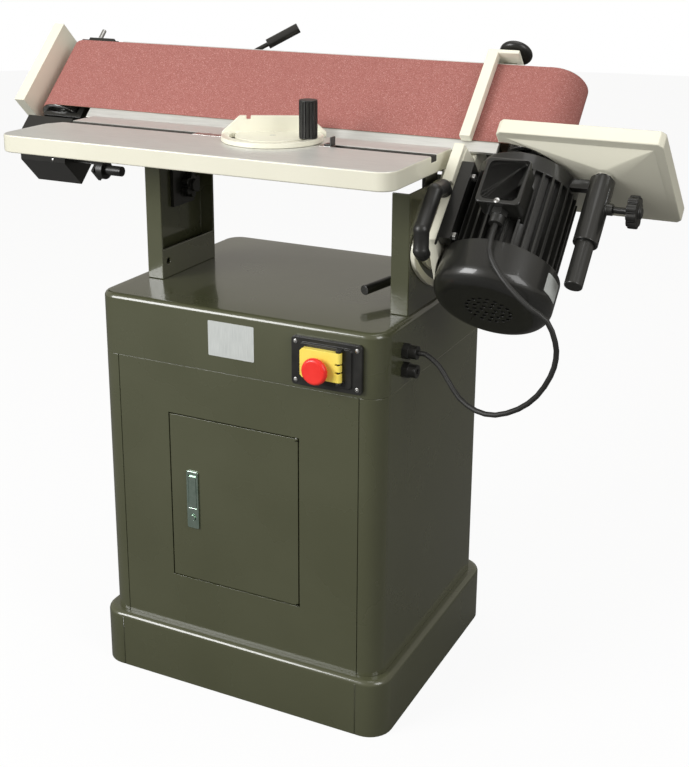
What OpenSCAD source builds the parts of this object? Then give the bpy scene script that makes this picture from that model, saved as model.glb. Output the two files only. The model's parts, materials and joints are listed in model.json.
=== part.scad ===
// Edge sander: a sheet steel cabinet carries two columns, a work table and a tilting belt head.
// X runs along the belt to the right, Y to the rear, Z up. Origin: centre of the plinth on the floor.

/* [Cabinet] */
// Width of the cabinet, left to right
cabinet_w = 510; // [470:1:560]
// Depth of the cabinet, front to rear
cabinet_d = 428; // [400:1:470]
// Height of the cabinet walls between plinth and cap
wall_h = 470; // [420:1:560]
// Radius of the upright cabinet corners
corner_r = 32; // [24:1:36]
// Thickness of the cabinet sheet steel
sheet_t = 2; // [1.5:0.1:3]
// Height of the plinth
plinth_h = 100; // [80:1:130]
// Distance the plinth stands out past the cabinet on each side
plinth_out = 15; // [10:1:25]
// Height of the cap on top of the cabinet walls
cap_h = 102; // [96:1:130]
// Radius of the anchor bolt holes in the plinth flange
anchor_r = 5.5; // [4:0.5:7]

/* [Door] */
// Width of the cabinet door
door_w = 235; // [200:1:260]
// Height of the cabinet door
door_h = 288; // [240:1:320]
// Height of the door's lower edge above the plinth
door_low = 96; // [70:1:110]
// Gap around the door
door_gap = 2.2; // [2:0.1:3]

/* [Columns] */
// Distance between the outer faces of the two columns
column_span = 475; // [460:1:485]
// Width of a column along X
column_w = 30; // [27:1:36]
// Depth of a column along Y
column_d = 164; // [150:1:175]
// Thickness of the column plate
column_t = 4; // [3:0.5:5]
// Height of the columns above the cap
column_h = 190; // [184:1:215]

/* [Work table] */
// Length of the work table
table_len = 700; // [680:1:722]
// Depth of the work table
table_d = 230; // [215:1:250]
// Thickness of the work table's rim
table_t = 29; // [26:1:34]
// Width of the gauge slot
slot_w = 19.2; // [16:0.1:22]
// Depth of the gauge slot
slot_h = 9.8; // [8:0.1:11]

/* [Belt head] */
// Distance between the drive drum and the idler roller
roller_span = 902; // [890:1:930]
// Radius of the drive drum
drum_r = 46.5; // [44:0.5:50]
// Radius of the idler roller
idler_r = 40.5; // [38:0.5:43]
// Width of the sanding belt
belt_w = 150; // [140:1:160]
// Thickness of the sanding belt
belt_t = 1.2; // [0.8:0.1:1.6]
// Thickness of the platen behind the belt
platen_t = 6; // [5:0.5:8]
// Radius of the two tilt pins
pin_r = 8; // [6:0.5:9]

/* [Motor] */
// Radius over the motor's cooling fins
fin_r = 82; // [80:1:86]
// Length of the finned housing
fin_len = 148; // [135:1:155]
// Number of cooling fins
fin_count = 32; // [24:1:40]
// Radius of the fan cover
cover_r = 90; // [88:1:94]
// Length of the fan cover
cover_len = 56; // [52:1:66]
// Radius of the motor shaft
shaft_r = 12; // [10:0.5:14]

/* [Contour table] */
// Length of the contour table along the belt
contour_w = 252; // [230:1:260]
// Depth of the contour table across the belt
contour_d = 202; // [200:1:230]
// Height of the contour table's rim
contour_rim = 25; // [20:1:28]
// Radius of the contour table's post
post_r = 13.5; // [11:0.5:14.5]

/* [Mitre gauge] */
// Radius of the gauge's base
gauge_r = 81.5; // [76:0.5:84]
// Length of the gauge's bar
gauge_bar_len = 254; // [200:1:280]

/* [Cable] */
// Radius of the motor cable
cable_r = 4; // [3:0.5:5]

/* [Hidden] */
$fn = 48;
hull_fn = 32;
// Overrun of every cut
over = 1;
// Gap between pieces that move past each other
slip = 0.3;
// Radial clearance of a turning pin
run = 0.05;
// Swell of the rounded joints of a bent bar
bar_swell = 0.6;
// How far a straight run dips inside the arcs that it leaves
run_dip = 0.02;
// Lean of the belt head from upright
head_lean = 45;
// Angle between the gauge's fence and the slot
gauge_set = 27;

olive = [0.27, 0.26, 0.20];
cream = [0.90, 0.89, 0.80];
steel = [0.72, 0.73, 0.74];
black = [0.08, 0.08, 0.08];
abrasive = [0.55, 0.25, 0.22];
yellow = [0.95, 0.82, 0.10];
red = [0.85, 0.10, 0.08];
green = [0.10, 0.45, 0.20];

// Cabinet
shoulder_r = 9;
plinth_w = cabinet_w + 2 * plinth_out;
plinth_d = cabinet_d + 2 * plinth_out;
plinth_r = corner_r + plinth_out / 2;
floor_flange = 30;
anchor_in = 16;
plinth_seam_in = 48;
seam = 1.2;
wall_z = plinth_h + wall_h;
deck_z = wall_z + cap_h;
front_y = -cabinet_d / 2;
front_return = 37;
panel_half = cabinet_w / 2 - front_return;
joggle = 15;
joggle_over = corner_r > front_return ? 0 : front_return - corner_r - seam;

// Door, hung on two upright pins at its right edge
door_mid = -4;
door_x0 = door_mid - door_w / 2;
door_x1 = door_mid + door_w / 2;
door_z0 = plinth_h + door_low;
door_z1 = door_z0 + door_h;
door_flange = 15;
lip_d = 14;
hinge_in = 4;
hinge_r = 2;
hinge_x = door_x1 - hinge_in;
hinge_y = front_y + hinge_in;
latch_in = 41;
latch_w = 22;
latch_h = 101;
latch_t = 3;
latch_x = door_x0 + latch_in;
latch_z = door_z0 + door_h / 2;
pull_w = 14;
pull_h = 56;
pull_t = 2;
pull_up = 14;
pull_pin_r = 1.2;
button_r = 5;
button_down = 31;
button_out = 2;
bolt_w = 24;
bolt_h = 14;
bolt_t = 4;
bolt_reach = 22;

// Columns
column_mid = 10.5;
column_x0 = column_mid - column_span / 2;
column_x1 = column_mid + column_span / 2;
column_set = 106;
column_y0 = front_y + column_set;
column_y1 = column_y0 + column_d;
column_z = deck_z + column_h;
foot_t = 6;
foot_bolt_in = 30;
foot_bolt_r = 5;
foot_head_r = 8.5;
foot_head_h = 6;
washer_t = 2;
apron_h = 50;
apron_hole_r = 5;
apron_hole_in = 18;
apron_hole_up = 28;
ear_r = 15;
ear_boss = 8;
pivot_in = 6;
pivot_rise = 31;
pivot_y = column_y1 - pivot_in;
pivot_z = column_z + pivot_rise;

// Work table
table_gap = 3;
belt_face = 37.5;
belt_low = 9;
table_overhang = 18;
table_under = 24;
table_x1 = column_x1 + table_overhang;
table_x0 = table_x1 - table_len;
table_y1 = pivot_y - belt_face - table_gap;
table_y0 = table_y1 - table_d;
table_z0 = column_z + table_under;
table_z1 = table_z0 + table_t;
table_r = 26;
notch_w = 20;
notch_d = 76;
notch_slope = 33;
slot_back = 71.5;
slot_y = table_y1 - slot_back;
table_skin = 13;
table_rim = 12;
table_rib = 8;
table_rib_count = 5;
table_wear = 2;

// Table brackets slide on the column webs
bracket_t = 6;
bracket_w = 64;
bracket_drop = 106;
bracket_foot = 34;
bracket_step = 16;
bracket_step_z = 28;
bracket_in = 68;
bracket_y = column_y0 + bracket_in;
lock_in = 44;
lock_y = bracket_y + lock_in;
bracket_bolt_r = 4;
bracket_bolt_head = 7;
bracket_bolt_in = 14;
lock_drop = 50;
lock_z = column_z - lock_drop;
lock_stud_r = 5;
lock_travel = 32;
lock_knob_r = 22;
lock_knob_t = 12;
lock_hub_r = 11;
lock_lobes = 6;
lobe_r_share = 0.30;

// Belt head: local X along the belt, local Y away from the belt face, local Z across the belt
drum_reach = 134;
drum_x = column_x1 + drum_reach;
idler_x = drum_x - roller_span;
drum_q = belt_t + slip + drum_r;
idler_q = belt_t + slip + idler_r;
rear_turn = 2 * atan2(drum_q - idler_q, roller_span);
rear_n = [-sin(rear_turn), cos(rear_turn)];
pivot_q = belt_face;
pivot_h = -belt_low;
platen_q = belt_t + slip;
platen_low = 20;
platen_high = 3;
platen_left = 83;
platen_right = 47;
frame_q = platen_q + platen_t;
frame_t = 6;
frame_d = 58;
frame_low = 10;
frame_high = 8;
frame_short = 10;
frame_x0 = idler_x + platen_left + frame_short;
frame_x1 = drum_x - platen_right - frame_short;
frame_z1 = belt_w - frame_high;
frame_q1 = frame_q + frame_d;
drum_hub_r = 20;
drum_wall = 8;
drum_over = 2;

// Idler carriage, slid by the tension lever
axle_r = 10;
roller_wall = 7;
arm_t = 9;
arm_gap = 5;
arm_w = 46;
arm_q0 = 15;
arm_q1 = 68;
yoke_clear = 6;
yoke_x0 = idler_x + idler_r + belt_t + yoke_clear;
yoke_t = 12;
rail_s = 24;
rail_q = 40;
rail_z = belt_w / 2;
guide_wall = 8;
guide_len = 90;
guide_x0 = frame_x0;
spring_r = 21;
spring_wire = 2;
spring_turns = 4;
spring_rings = 8;
spring_sides = 6;
axle_bolt_r = 9;
axle_bolt_h = 7;
arm_cap_left = 8;
arm_cap_right = 48;
arm_cap_d = 24;
arm_cap_t = 5;
arm_screw_at = 13;
arm_screw_r = 4;
arm_screw_h = 21;
arm_top = belt_w + arm_gap + arm_t;

// Tension lever with its eccentric
lever_from_idler = 305;
lever_x = idler_x + lever_from_idler;
lever_q = 45;
lever_shaft_r = 8;
lever_hub_r = 13;
lever_hub_h = 22;
cam_r = 14;
cam_off = 8;
cam_play = 2;
cam_rim = 9;
cam_x = lever_x - cam_off;
rail_x1 = cam_x + cam_r + slip + cam_rim;
lever_rise = 41;
lever_rod_r = 4;
lever_rod = 62;
lever_grip_r = 9;
lever_grip = 62;

// Trunnions
trunnion_t = 8;
trunnion_gap = 0.4;
saddle_t = 7;
saddle_q0 = 16;
saddle_q1 = 66;
saddle_w = 44;
saddle_bolt_r = 4;
saddle_bolt_head = 6.5;
saddle_bolt_h = 5;
left_hub_r = 18;
lock_radius = 190;
quad_r = 208;
quad_front = 32.5;
quad_corner = 35;
quad_rear = 58;
quad_neck = 12;
quad_neck_low = 50;
lock_slot_r = 6.5;
trunnion_x0 = column_x1 + trunnion_gap;
motor_plate_t = 14;
motor_plate_out = 38;
motor_plate_x = column_x1 + motor_plate_out;
motor_plate_q0 = -28;
motor_plate_q1 = 124;
motor_plate_tip = 38;
motor_plate_low = 200;
block_w = 17;
block_q = 22;
block_z0 = -104;
block_z1 = -34;

// Tilt lock lever
lock_lead = 3;
lock_stud_y = pivot_y - lock_radius * sin(lock_lead);
lock_stud_z = pivot_z - lock_radius * cos(lock_lead);
tilt_swing = 17;
tilt_stud_r = 6;
tilt_hub_r = 10.5;
tilt_hub_len = 24;
tilt_arm = 131;
tilt_arm_r = 5;
tilt_grip_r = 8;
tilt_grip = 62;
tilt_fall = 3;
tilt_nut_r = 10;
tilt_nut_t = 9;

// Motor
foot_w = 20;
foot_half = 68;
foot_pad = 22;
motor_foot_bolt_r = 4;
motor_foot_head = 6.5;
motor_foot_h = 6;
fin_deep = 11;
fin_root_r = fin_r - fin_deep;
fin_w = 4;
motor_top = -34;
bell_len = 26;
bell_boss_r = 36;
bell_boss_h = 10;
fin_z1 = motor_top - bell_len;
fin_z0 = fin_z1 - fin_len;
cover_t = 2;
cover_lap = 12;
cover_z1 = fin_z0 + cover_lap;
cover_z0 = cover_z1 - cover_len - cover_lap;
cover_round = 24;
cover_gap = 3;
vent_r = 3;
vent_rings = 3;
vent_step = 11;
fan_r = 70;
fan_hub_r = 22;
fan_t = 4;
fan_w = 22;
fan_blades = 8;
fan_gap = 8;
box_shift = 10;
box_x = drum_x + box_shift;
box_w = 63;
box_len = 74;
box_z0 = -156;
box_q0 = -72;
box_wall = 3;
lid_t = 7;
lid_out = 2;
lid_edge = 6;
lid_dip = 2;
box_r = 7;
gland_hex_r = 13;
gland_hex_h = 10;
gland_nut_r = 10.5;
gland_nut_h = 13;
gland_q = -52;

// Contour table on its post
contour_left = 42;
contour_x0 = drum_x - contour_left;
contour_q0 = -43;
contour_x1 = contour_x0 + contour_w;
contour_q1 = contour_q0 + contour_d;
contour_top = 14;
contour_flare = 8;
contour_chamfer = 7;
contour_skin = 7;
contour_in = 14;
contour_cut = 63;
contour_tongue = -15;
contour_drop = 34;
boss_r = 22;
boss_t = 6;
post_from_drum = 121;
post_x = drum_x + post_from_drum;
post_q = 20;
post_low = 222;
clamp_r = 18.5;
clamp_z1 = -39;
clamp_z0 = -150;
clamp_arm_t = 12;
clamp_arm_h = 17;
clamp_stud_z = -87;
clamp_stud_r = 5;
clamp_pad_r = 9;
clamp_pad = 8;
clamp_stud_len = 38;
star_r = 24.5;
star_t = 15;
star_lobes = 10;

// Work stop across the belt
stop_out = 26;
stop_x = column_x1 + stop_out;
stop_w = 18;
stop_t = 15;
stop_gap = 1.5;
stop_low = -4;
stop_arm_rise = 10;
stop_arm_z = belt_w + stop_arm_rise;
stop_arm_t = 7;
stop_arm_w = 52;
stop_arm_q = 30;
stop_stud_q = 18;
stop_stud_r = 5;
stop_stud_from = 33;
stop_stud_x = stop_x + stop_stud_from;
stop_post_r = 11;
stop_knob_r = 27;
stop_knob_t = 14;
stop_knob_rise = 14;

// End guard at the idler
guard_t = 2;
guard_out = 56;
guard_x = idler_x - guard_out;
guard_q0 = -14;
guard_q1 = 104;
guard_z0 = -6;
guard_rise = 24;
guard_z1 = belt_w + guard_rise;
guard_lip = 20;
guard_arm_z0 = 40;
guard_arm_z1 = 110;
guard_lap = 30;

// Rear belt cover
rear_q = guard_q1;
rear_t = 2;
rear_lip = 12;
rear_from_idler = 60;
rear_x0 = idler_x + rear_from_idler;
rear_from_drum = 70;
rear_x1 = drum_x - rear_from_drum;
rear_z0 = 6;
rear_rise = 12;
rear_z1 = belt_w + rear_rise;
rear_bridge_w = 30;
rear_bridges = 3;

// Dust hood under the idler
hood_left = 48;
hood_x0 = idler_x - hood_left;
hood_right = 52;
hood_x1 = idler_x + hood_right;
hood_q0 = 8;
hood_q1 = guard_q1 + rear_t;
hood_z0 = -98;
hood_z1 = -22;
hood_t = 2;
hood_slope = 34;
outlet_r = 24;
outlet_len = 24;
outlet_z = -47;
hood_hang_w = 3;
track_from_idler = 102;
track_x = idler_x + track_from_idler;
track_q = 76;
track_z = -80;
track_hub_r = 17;
track_hub_t = 14;
track_grip_r = 9;
track_grip = 34;
track_stud_r = 5;
track_arm_t = 6;
track_arm_w = 30;

// D handle on the motor plate
handle_z0 = -228;
handle_z1 = -116;
handle_r = 11.5;
handle_x = motor_plate_x + motor_plate_t - handle_r;
handle_out = 34;
handle_foot = 12;

// Mitre gauge
gauge_x = -11;
bar_slack = 0.6;
bar_w = slot_w - bar_slack;
bar_ahead = 108;
bar_x0 = gauge_x + bar_ahead - gauge_bar_len;
bar_h = slot_h - slip;
gauge_pin_r = 5;
gauge_stud_r = 4;
gauge_stud_at = 64;
gauge_base_t = 8;
gauge_wall0 = 29;
gauge_wall_t = 8;
gauge_right = 85.5;
gauge_left = 83;
gauge_wall_h = 34;
gauge_wall_slope = 29;
gauge_notch_w = 7;
gauge_notch_h = 6;
gauge_notch_at = 43;
gauge_slot_w = 9;
gauge_slot_half = 108;
gauge_knob_r = 14.5;
gauge_knob_h = 60;
gauge_knob_flutes = 8;
flute_r = 3;
pointer_w = 14;
pointer_len = 16;
pointer_t = 3;
pointer_h = 14;
gauge_low = 0.4;

// Switch on the front of the cap
switch_w = 118;
switch_h = 77;
switch_in = 89;
switch_x = cabinet_w / 2 - switch_in;
switch_up = 46;
switch_z = wall_z + switch_up;
switch_t = 7;
switch_r = 6;
switch_bezel_w = 86;
switch_bezel_h = 62;
switch_bezel_t = 3;
switch_deep = 48;
switch_fit = 0.5;
key_w = 20;
key_h = 30;
key_out = 3;
key_in = 20;
key_gap = 23;
key_travel = 3;
flap_w = 68;
flap_h = 46;
flap_t = 10;
flap_wall = 3;
flap_shift = -4;
flap_up = 3;
flap_z = switch_z + flap_up;
flap_pin_r = 2;
flap_ear = 5;
flap_chamfer = 4;
flap_notch_w = 3;
flap_notch_in = 9;
flap_notch_shares = [0.33, 0.61];
mush_r = 21;
mush_t = 11;
mush_stem_r = 9;
mush_stand = 4;
mush_shift = -8;
mush_drop = 7;

// Cable glands on the right of the cap
cap_gland_in = 78;
cap_gland_y = front_y + cap_gland_in;
cap_gland_up = 57;
cap_gland_z = wall_z + cap_gland_up;
cap_gland_step = 30;
gland_neck_r = 8;

// Motor cable: hand-chosen points along the hanging loop, from the motor to the cabinet
cable_route = [
    [397, -172, 810], [413, -188, 790], [437, -198, 768], [468, -202, 744], [493, -198, 727],
    [505, -193, 697], [506, -188, 671], [498, -183, 642], [478, -176, 607], [449, -168, 579],
    [412, -160, 560], [379, -152, 558], [350, -146, 571], [329, -141, 594], [312, -138, 614]
];
cable_straight = 12;
cable_sides = 10;

// Shapes that repeat

module slab(low, high) {
    translate(low) cube(high - low);
}

module round_rect(w, d, r) {
    square([w - 2 * r, d], center = true);
    square([w, d - 2 * r], center = true);
    for (sx = [-1, 1], sy = [-1, 1])
        translate([sx * (w / 2 - r), sy * (d / 2 - r)]) circle(r);
}

// A block with round upright corners and a rounded upper edge
module soft_block(w, d, h, r, edge) {
    hull()
        for (sx = [-1, 1], sy = [-1, 1])
            translate([sx * (w / 2 - r), sy * (d / 2 - r)])
                rotate_extrude($fn = hull_fn) {
                    square([r, h - edge]);
                    square([r - edge, h]);
                    translate([r - edge, h - edge]) intersection() {
                        circle(edge, $fn = hull_fn);
                        square(edge);
                    }
                }
}

module rod_x(x0, x1, r) {
    translate([x0, 0, 0]) rotate([0, 90, 0]) cylinder(h = x1 - x0, r = r);
}

module rod_y(y0, y1, r) {
    translate([0, y1, 0]) rotate([90, 0, 0]) cylinder(h = y1 - y0, r = r);
}

module rod_z(z0, z1, r) {
    translate([0, 0, z0]) cylinder(h = z1 - z0, r = r);
}

// A round bar between two points, with round ends
module bar_between(a, b, r) {
    d = b - a;
    translate(a) rotate([0, acos(d[2] / norm(d)), atan2(d[1], d[0])]) cylinder(h = norm(d), r = r);
    for (p = [a, b]) translate(p) sphere(r + bar_swell);
}

// A knob with rounded lobes around its rim, axis along Z, from 0 upwards
module lobed_knob(r, t, lobes, hub_r) {
    lobe = r * lobe_r_share;
    linear_extrude(t) {
        circle(r - lobe);
        for (i = [0:lobes - 1]) rotate([0, 0, i * 360 / lobes]) translate([r - lobe, 0]) circle(lobe);
    }
    translate([0, 0, t / 2]) cylinder(h = t / 2 + hub_r / 2, r = hub_r);
}

// Places head pieces at their lean about the tilt axis
module head() {
    translate([0, pivot_y, pivot_z]) rotate([-head_lean, 0, 0])
        translate([0, -pivot_q, -pivot_h]) children();
}

function head_point(p) = [
    p[0],
    pivot_y + (p[1] - pivot_q) * cos(head_lean) + (p[2] - pivot_h) * sin(head_lean),
    pivot_z - (p[1] - pivot_q) * sin(head_lean) + (p[2] - pivot_h) * cos(head_lean)
];

module at_column(right) {
    translate([right ? column_x1 : column_x0, 0, 0]) mirror([right ? 1 : 0, 0, 0]) children();
}

// A tube swept along points, with flat ends
function unit(v) = v / norm(v);
function tangent(p, i) = unit(p[min(i + 1, len(p) - 1)] - p[max(i - 1, 0)]);
function ring(p, i, r, n, ref) = let(t = tangent(p, i), a = unit(cross(t, ref)), b = cross(t, a))
    [for (k = [0:n - 1]) p[i] + r * (cos(k * 360 / n) * a + sin(k * 360 / n) * b)];

module swept_tube(p, r, n, ref) {
    last = len(p) - 1;
    points = [for (i = [0:last]) each ring(p, i, r, n, ref)];
    walls = [for (i = [0:last - 1], k = [0:n - 1])
        let(a = i * n + k, b = i * n + (k + 1) % n)
            each [[a, a + n, b + n], [a, b + n, b]]];
    caps = [for (k = [1:n - 2]) each [[0, k, k + 1], [last * n, last * n + k + 1, last * n + k]]];
    polyhedron(points = points, faces = concat(walls, caps));
}

// Cabinet

module plinth() color(olive) difference() {
    soft_block(plinth_w, plinth_d, plinth_h, plinth_r, shoulder_r);
    translate([0, 0, sheet_t])
        soft_block(plinth_w - 2 * sheet_t, plinth_d - 2 * sheet_t, plinth_h - 2 * sheet_t,
            plinth_r - sheet_t, shoulder_r - sheet_t);
    translate([0, 0, -over]) linear_extrude(sheet_t + 2 * over)
        round_rect(plinth_w - 2 * floor_flange, plinth_d - 2 * floor_flange, plinth_r);
    for (sx = [-1, 1], sy = [-1, 1])
        translate([sx * (plinth_w / 2 - plinth_r - anchor_in), sy * (plinth_d / 2 - anchor_in), -over])
            cylinder(h = sheet_t + 2 * over, r = anchor_r);
    for (sx = [-1, 1])
        translate([sx * (plinth_w / 2 - plinth_seam_in), -plinth_d / 2, plinth_h / 2])
            cube([seam, seam, plinth_h + 2 * over], center = true);
}

module cabinet_shell() color(olive) translate([0, 0, plinth_h]) difference() {
    linear_extrude(wall_h) round_rect(cabinet_w, cabinet_d, corner_r);
    translate([0, 0, -over]) linear_extrude(wall_h + 2 * over)
        round_rect(cabinet_w - 2 * sheet_t, cabinet_d - 2 * sheet_t, corner_r - sheet_t);
    slab([-panel_half, front_y - over, -over], [panel_half, front_y + 2 * sheet_t, wall_h + over]);
}

module front_panel() color(olive) difference() {
    union() {
        slab([-panel_half + seam, front_y, plinth_h], [panel_half - seam, front_y + sheet_t, wall_z]);
        for (s = [-1, 1])
            translate([s * panel_half, 0, 0])
                slab([s > 0 ? -joggle : -joggle_over, front_y + sheet_t, plinth_h],
                    [s > 0 ? joggle_over : joggle, front_y + 2 * sheet_t, wall_z]);
        slab([door_x0 - door_gap - sheet_t, front_y, door_z0 - door_gap - sheet_t],
            [door_x1 + door_gap + sheet_t, front_y + lip_d, door_z1 + door_gap + sheet_t]);
    }
    slab([door_x0 - door_gap, front_y - over, door_z0 - door_gap],
        [door_x1 + door_gap, front_y + lip_d + over, door_z1 + door_gap]);
    translate([hinge_x, hinge_y, door_z0 - door_gap - sheet_t - over])
        cylinder(h = door_h + 2 * door_gap + 2 * sheet_t + 2 * over, r = hinge_r + run);
}

module door_panel() color(olive) difference() {
    slab([door_x0, front_y, door_z0], [door_x1, front_y + door_flange, door_z1]);
    slab([door_x0 + sheet_t, front_y + sheet_t, door_z0 + sheet_t],
        [door_x1 - sheet_t, front_y + door_flange + over, door_z1 - sheet_t]);
    translate([hinge_x, hinge_y, door_z0 - over]) cylinder(h = door_h + 2 * over, r = hinge_r);
    slab([latch_x - pull_w / 2, front_y - over, latch_z - latch_h / 2 + latch_in / 2],
        [latch_x + pull_w / 2, front_y + sheet_t + over, latch_z + latch_h / 2 - latch_in / 2]);
}

module door_pins() color(steel)
    for (z = [door_z0, door_z1])
        translate([hinge_x, hinge_y, z])
            rod_z(z == door_z0 ? -door_gap - sheet_t : -sheet_t,
                z == door_z0 ? sheet_t : door_gap + sheet_t, hinge_r);

module latch_plate() color(steel) difference() {
    union() {
        translate([latch_x, front_y, latch_z]) rotate([90, 0, 0])
            linear_extrude(latch_t) round_rect(latch_w, latch_h, latch_t);
        slab([latch_x - pull_w / 2, front_y, latch_z - latch_h / 2 + latch_in / 2],
            [latch_x + pull_w / 2, front_y + door_flange, latch_z + latch_h / 2 - latch_in / 2]);
        slab([latch_x - bolt_reach, front_y + door_flange, latch_z - bolt_h / 2],
            [latch_x + bolt_w / 2, front_y + door_flange + bolt_t, latch_z + bolt_h / 2]);
    }
    slab([latch_x - pull_w / 2 - slip, front_y - latch_t - over, latch_z + pull_up - pull_h / 2 - slip],
        [latch_x + pull_w / 2 + slip, front_y - latch_t + pull_t + slip,
        latch_z + pull_up + pull_h / 2 + pull_pin_r + slip]);
    translate([latch_x, 0, latch_z - button_down])
        rod_y(front_y - latch_t - over, front_y - slip, button_r + slip);
}

module latch_pull() color(steel)
    slab([latch_x - pull_w / 2, front_y - latch_t, latch_z + pull_up - pull_h / 2],
        [latch_x + pull_w / 2, front_y - latch_t + pull_t, latch_z + pull_up + pull_h / 2]);

module latch_button() color(steel) translate([latch_x, 0, latch_z - button_down])
    rod_y(front_y - latch_t - button_out, front_y - latch_t + button_out / 2, button_r);

module cabinet_cap() color(olive) difference() {
    translate([0, 0, wall_z]) soft_block(cabinet_w, cabinet_d, cap_h, corner_r, shoulder_r);
    translate([0, 0, wall_z - over])
        soft_block(cabinet_w - 2 * sheet_t, cabinet_d - 2 * sheet_t, cap_h - sheet_t + over,
            corner_r - sheet_t, shoulder_r - sheet_t);
    slab([switch_x - switch_bezel_w / 2, front_y - over, switch_z - switch_bezel_h / 2],
        [switch_x + switch_bezel_w / 2, front_y + sheet_t + over, switch_z + switch_bezel_h / 2]);
    for (i = [0, 1])
        translate([cabinet_w / 2 - sheet_t - over, cap_gland_y, cap_gland_z - i * cap_gland_step])
            rod_x(0, sheet_t + 2 * over, gland_neck_r);
    for (right = [false, true], rear = [false, true])
        at_column(right) translate([column_w / 2, foot_bolt_y(rear), deck_z - sheet_t - over])
            cylinder(h = sheet_t + 2 * over, r = foot_bolt_r);
}

function foot_bolt_y(rear) = rear ? column_y1 - foot_bolt_in : column_y0 + foot_bolt_in;

// Columns: channels that open towards each other, with an ear for the tilt pin

module column_body() difference() {
    union() {
        difference() {
            slab([0, column_y0, deck_z], [column_w, column_y1, column_z]);
            slab([column_t, column_y0 + column_t, deck_z + foot_t],
                [column_w + over, column_y1 - column_t, column_z + over]);
        }
        slab([column_w - column_t, column_y0 + column_t, deck_z],
            [column_w, column_y1 - column_t, deck_z + apron_h]);
        slab([0, pivot_y - ear_r, column_z - column_w], [column_t, column_y1, pivot_z]);
        translate([0, pivot_y, pivot_z]) rod_x(0, column_t + ear_boss, ear_r);
    }
    translate([-over, pivot_y, pivot_z]) rod_x(0, column_t + ear_boss + 2 * over, pin_r + run);
    translate([column_w - column_t - over, column_y0 + apron_hole_in, deck_z + apron_hole_up])
        rod_x(0, column_t + 2 * over, apron_hole_r);
    translate([-over, lock_y, lock_z]) rod_x(0, column_t + 2 * over, lock_stud_r + run);
    for (rear = [false, true])
        translate([column_w / 2, foot_bolt_y(rear), deck_z - over])
            cylinder(h = foot_t + 2 * over, r = foot_bolt_r);
}

module left_column() color(olive) at_column(false) column_body();

module right_column() color(olive) difference() {
    at_column(true) column_body();
    translate([column_x1 - column_t - over, lock_stud_y, lock_stud_z])
        rod_x(0, column_t + 2 * over, tilt_stud_r + run);
    translate([column_x1 - column_w - over, lock_stud_y, lock_stud_z])
        rod_x(0, column_t + 2 * over, tilt_hub_r + over);
}

module column_bolts() color(steel)
    for (right = [false, true], rear = [false, true])
        at_column(right) translate([column_w / 2, foot_bolt_y(rear), 0]) {
            rod_z(deck_z - sheet_t - foot_head_h, deck_z + foot_t + washer_t, foot_bolt_r);
            rod_z(deck_z + foot_t, deck_z + foot_t + washer_t, foot_head_r);
            translate([0, 0, deck_z + foot_t + washer_t])
                cylinder(h = foot_head_h, r = foot_head_r, $fn = 6);
            translate([0, 0, deck_z - sheet_t - foot_head_h])
                cylinder(h = foot_head_h, r = foot_head_r, $fn = 6);
        }

// Work table

module table_outline(in) {
    difference() {
        translate([table_x0 + in, table_y0 + in]) {
            w = table_len - 2 * in;
            d = table_d - 2 * in;
            r = table_r;
            translate([w / 2, d / 2]) {
                square([w - 2 * r, d], center = true);
                translate([0, r / 2]) square([w, d - r], center = true);
                for (s = [-1, 1]) translate([s * (w / 2 - r), r - d / 2]) circle(r);
            }
        }
        polygon([
            [table_x0 - over, table_y1 + over],
            [table_x0 - over, table_y1 - notch_d - notch_slope + in],
            [table_x0 + in, table_y1 - notch_d - notch_slope + in],
            [table_x0 + in + notch_w, table_y1 - notch_d + in],
            [table_x0 + in + notch_w, table_y1 + over]
        ]);
    }
}

module main_table() color(cream) difference() {
    translate([0, 0, table_z0]) linear_extrude(table_t) table_outline(0);
    slab([table_x0 - over, slot_y - slot_w / 2, table_z1 - slot_h],
        [table_x1 + over, slot_y + slot_w / 2, table_z1 + over]);
    translate([0, 0, table_z0 - over]) difference() {
        linear_extrude(table_t - table_skin + over) table_outline(table_rim);
        slab([table_x0, slot_y - slot_w, 0], [table_x1, slot_y + slot_w, table_t]);
        for (i = [1:table_rib_count])
            translate([table_x0 + i * table_len / (table_rib_count + 1), 0, 0])
                slab([-table_rib / 2, table_y0, 0], [table_rib / 2, table_y1, table_t]);
        for (right = [false, true])
            at_column(right) slab([0, bracket_y, 0],
                [column_t + bracket_t + bracket_foot + table_rib, bracket_y + bracket_w, table_t]);
    }
    for (right = [false, true], s = [-1, 1])
        bracket_bolt_place(right, s) translate([0, 0, -over])
            cylinder(h = table_t - table_skin + over, r = bracket_bolt_r);
}

module bracket_bolt_place(right, s)
    at_column(right)
        translate([column_t + slip + bracket_foot - bracket_bolt_in,
            bracket_y + (bracket_w - bracket_step) / 2
                + s * ((bracket_w - bracket_step) / 2 - bracket_bolt_in),
            table_z0]) children();

module table_brackets() color(black)
    for (right = [false, true])
        difference() {
            at_column(right) {
                translate([column_t + slip, bracket_y, table_z0]) rotate([90, 0, 90])
                    linear_extrude(bracket_t)
                    polygon([
                        [0, 0], [0, -bracket_drop], [bracket_w, -bracket_drop], [bracket_w, -bracket_step_z],
                        [bracket_w - bracket_step, bracket_step / 2 - bracket_step_z],
                        [bracket_w - bracket_step, 0]
                    ]);
                slab([column_t + slip, bracket_y, table_z0 - bracket_t],
                    [column_t + slip + bracket_foot, bracket_y + bracket_w - bracket_step, table_z0]);
            }
            at_column(right) translate([0, lock_y, lock_z]) {
                slab([0, -lock_stud_r - slip, -lock_travel / 2],
                    [column_w, lock_stud_r + slip, lock_travel / 2]);
                for (s = [-1, 1])
                    translate([0, 0, s * lock_travel / 2]) rod_x(0, column_w, lock_stud_r + slip);
            }
            for (s = [-1, 1])
                bracket_bolt_place(right, s) translate([0, 0, -bracket_t - over])
                    cylinder(h = bracket_t + 2 * over, r = bracket_bolt_r);
        }

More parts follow.
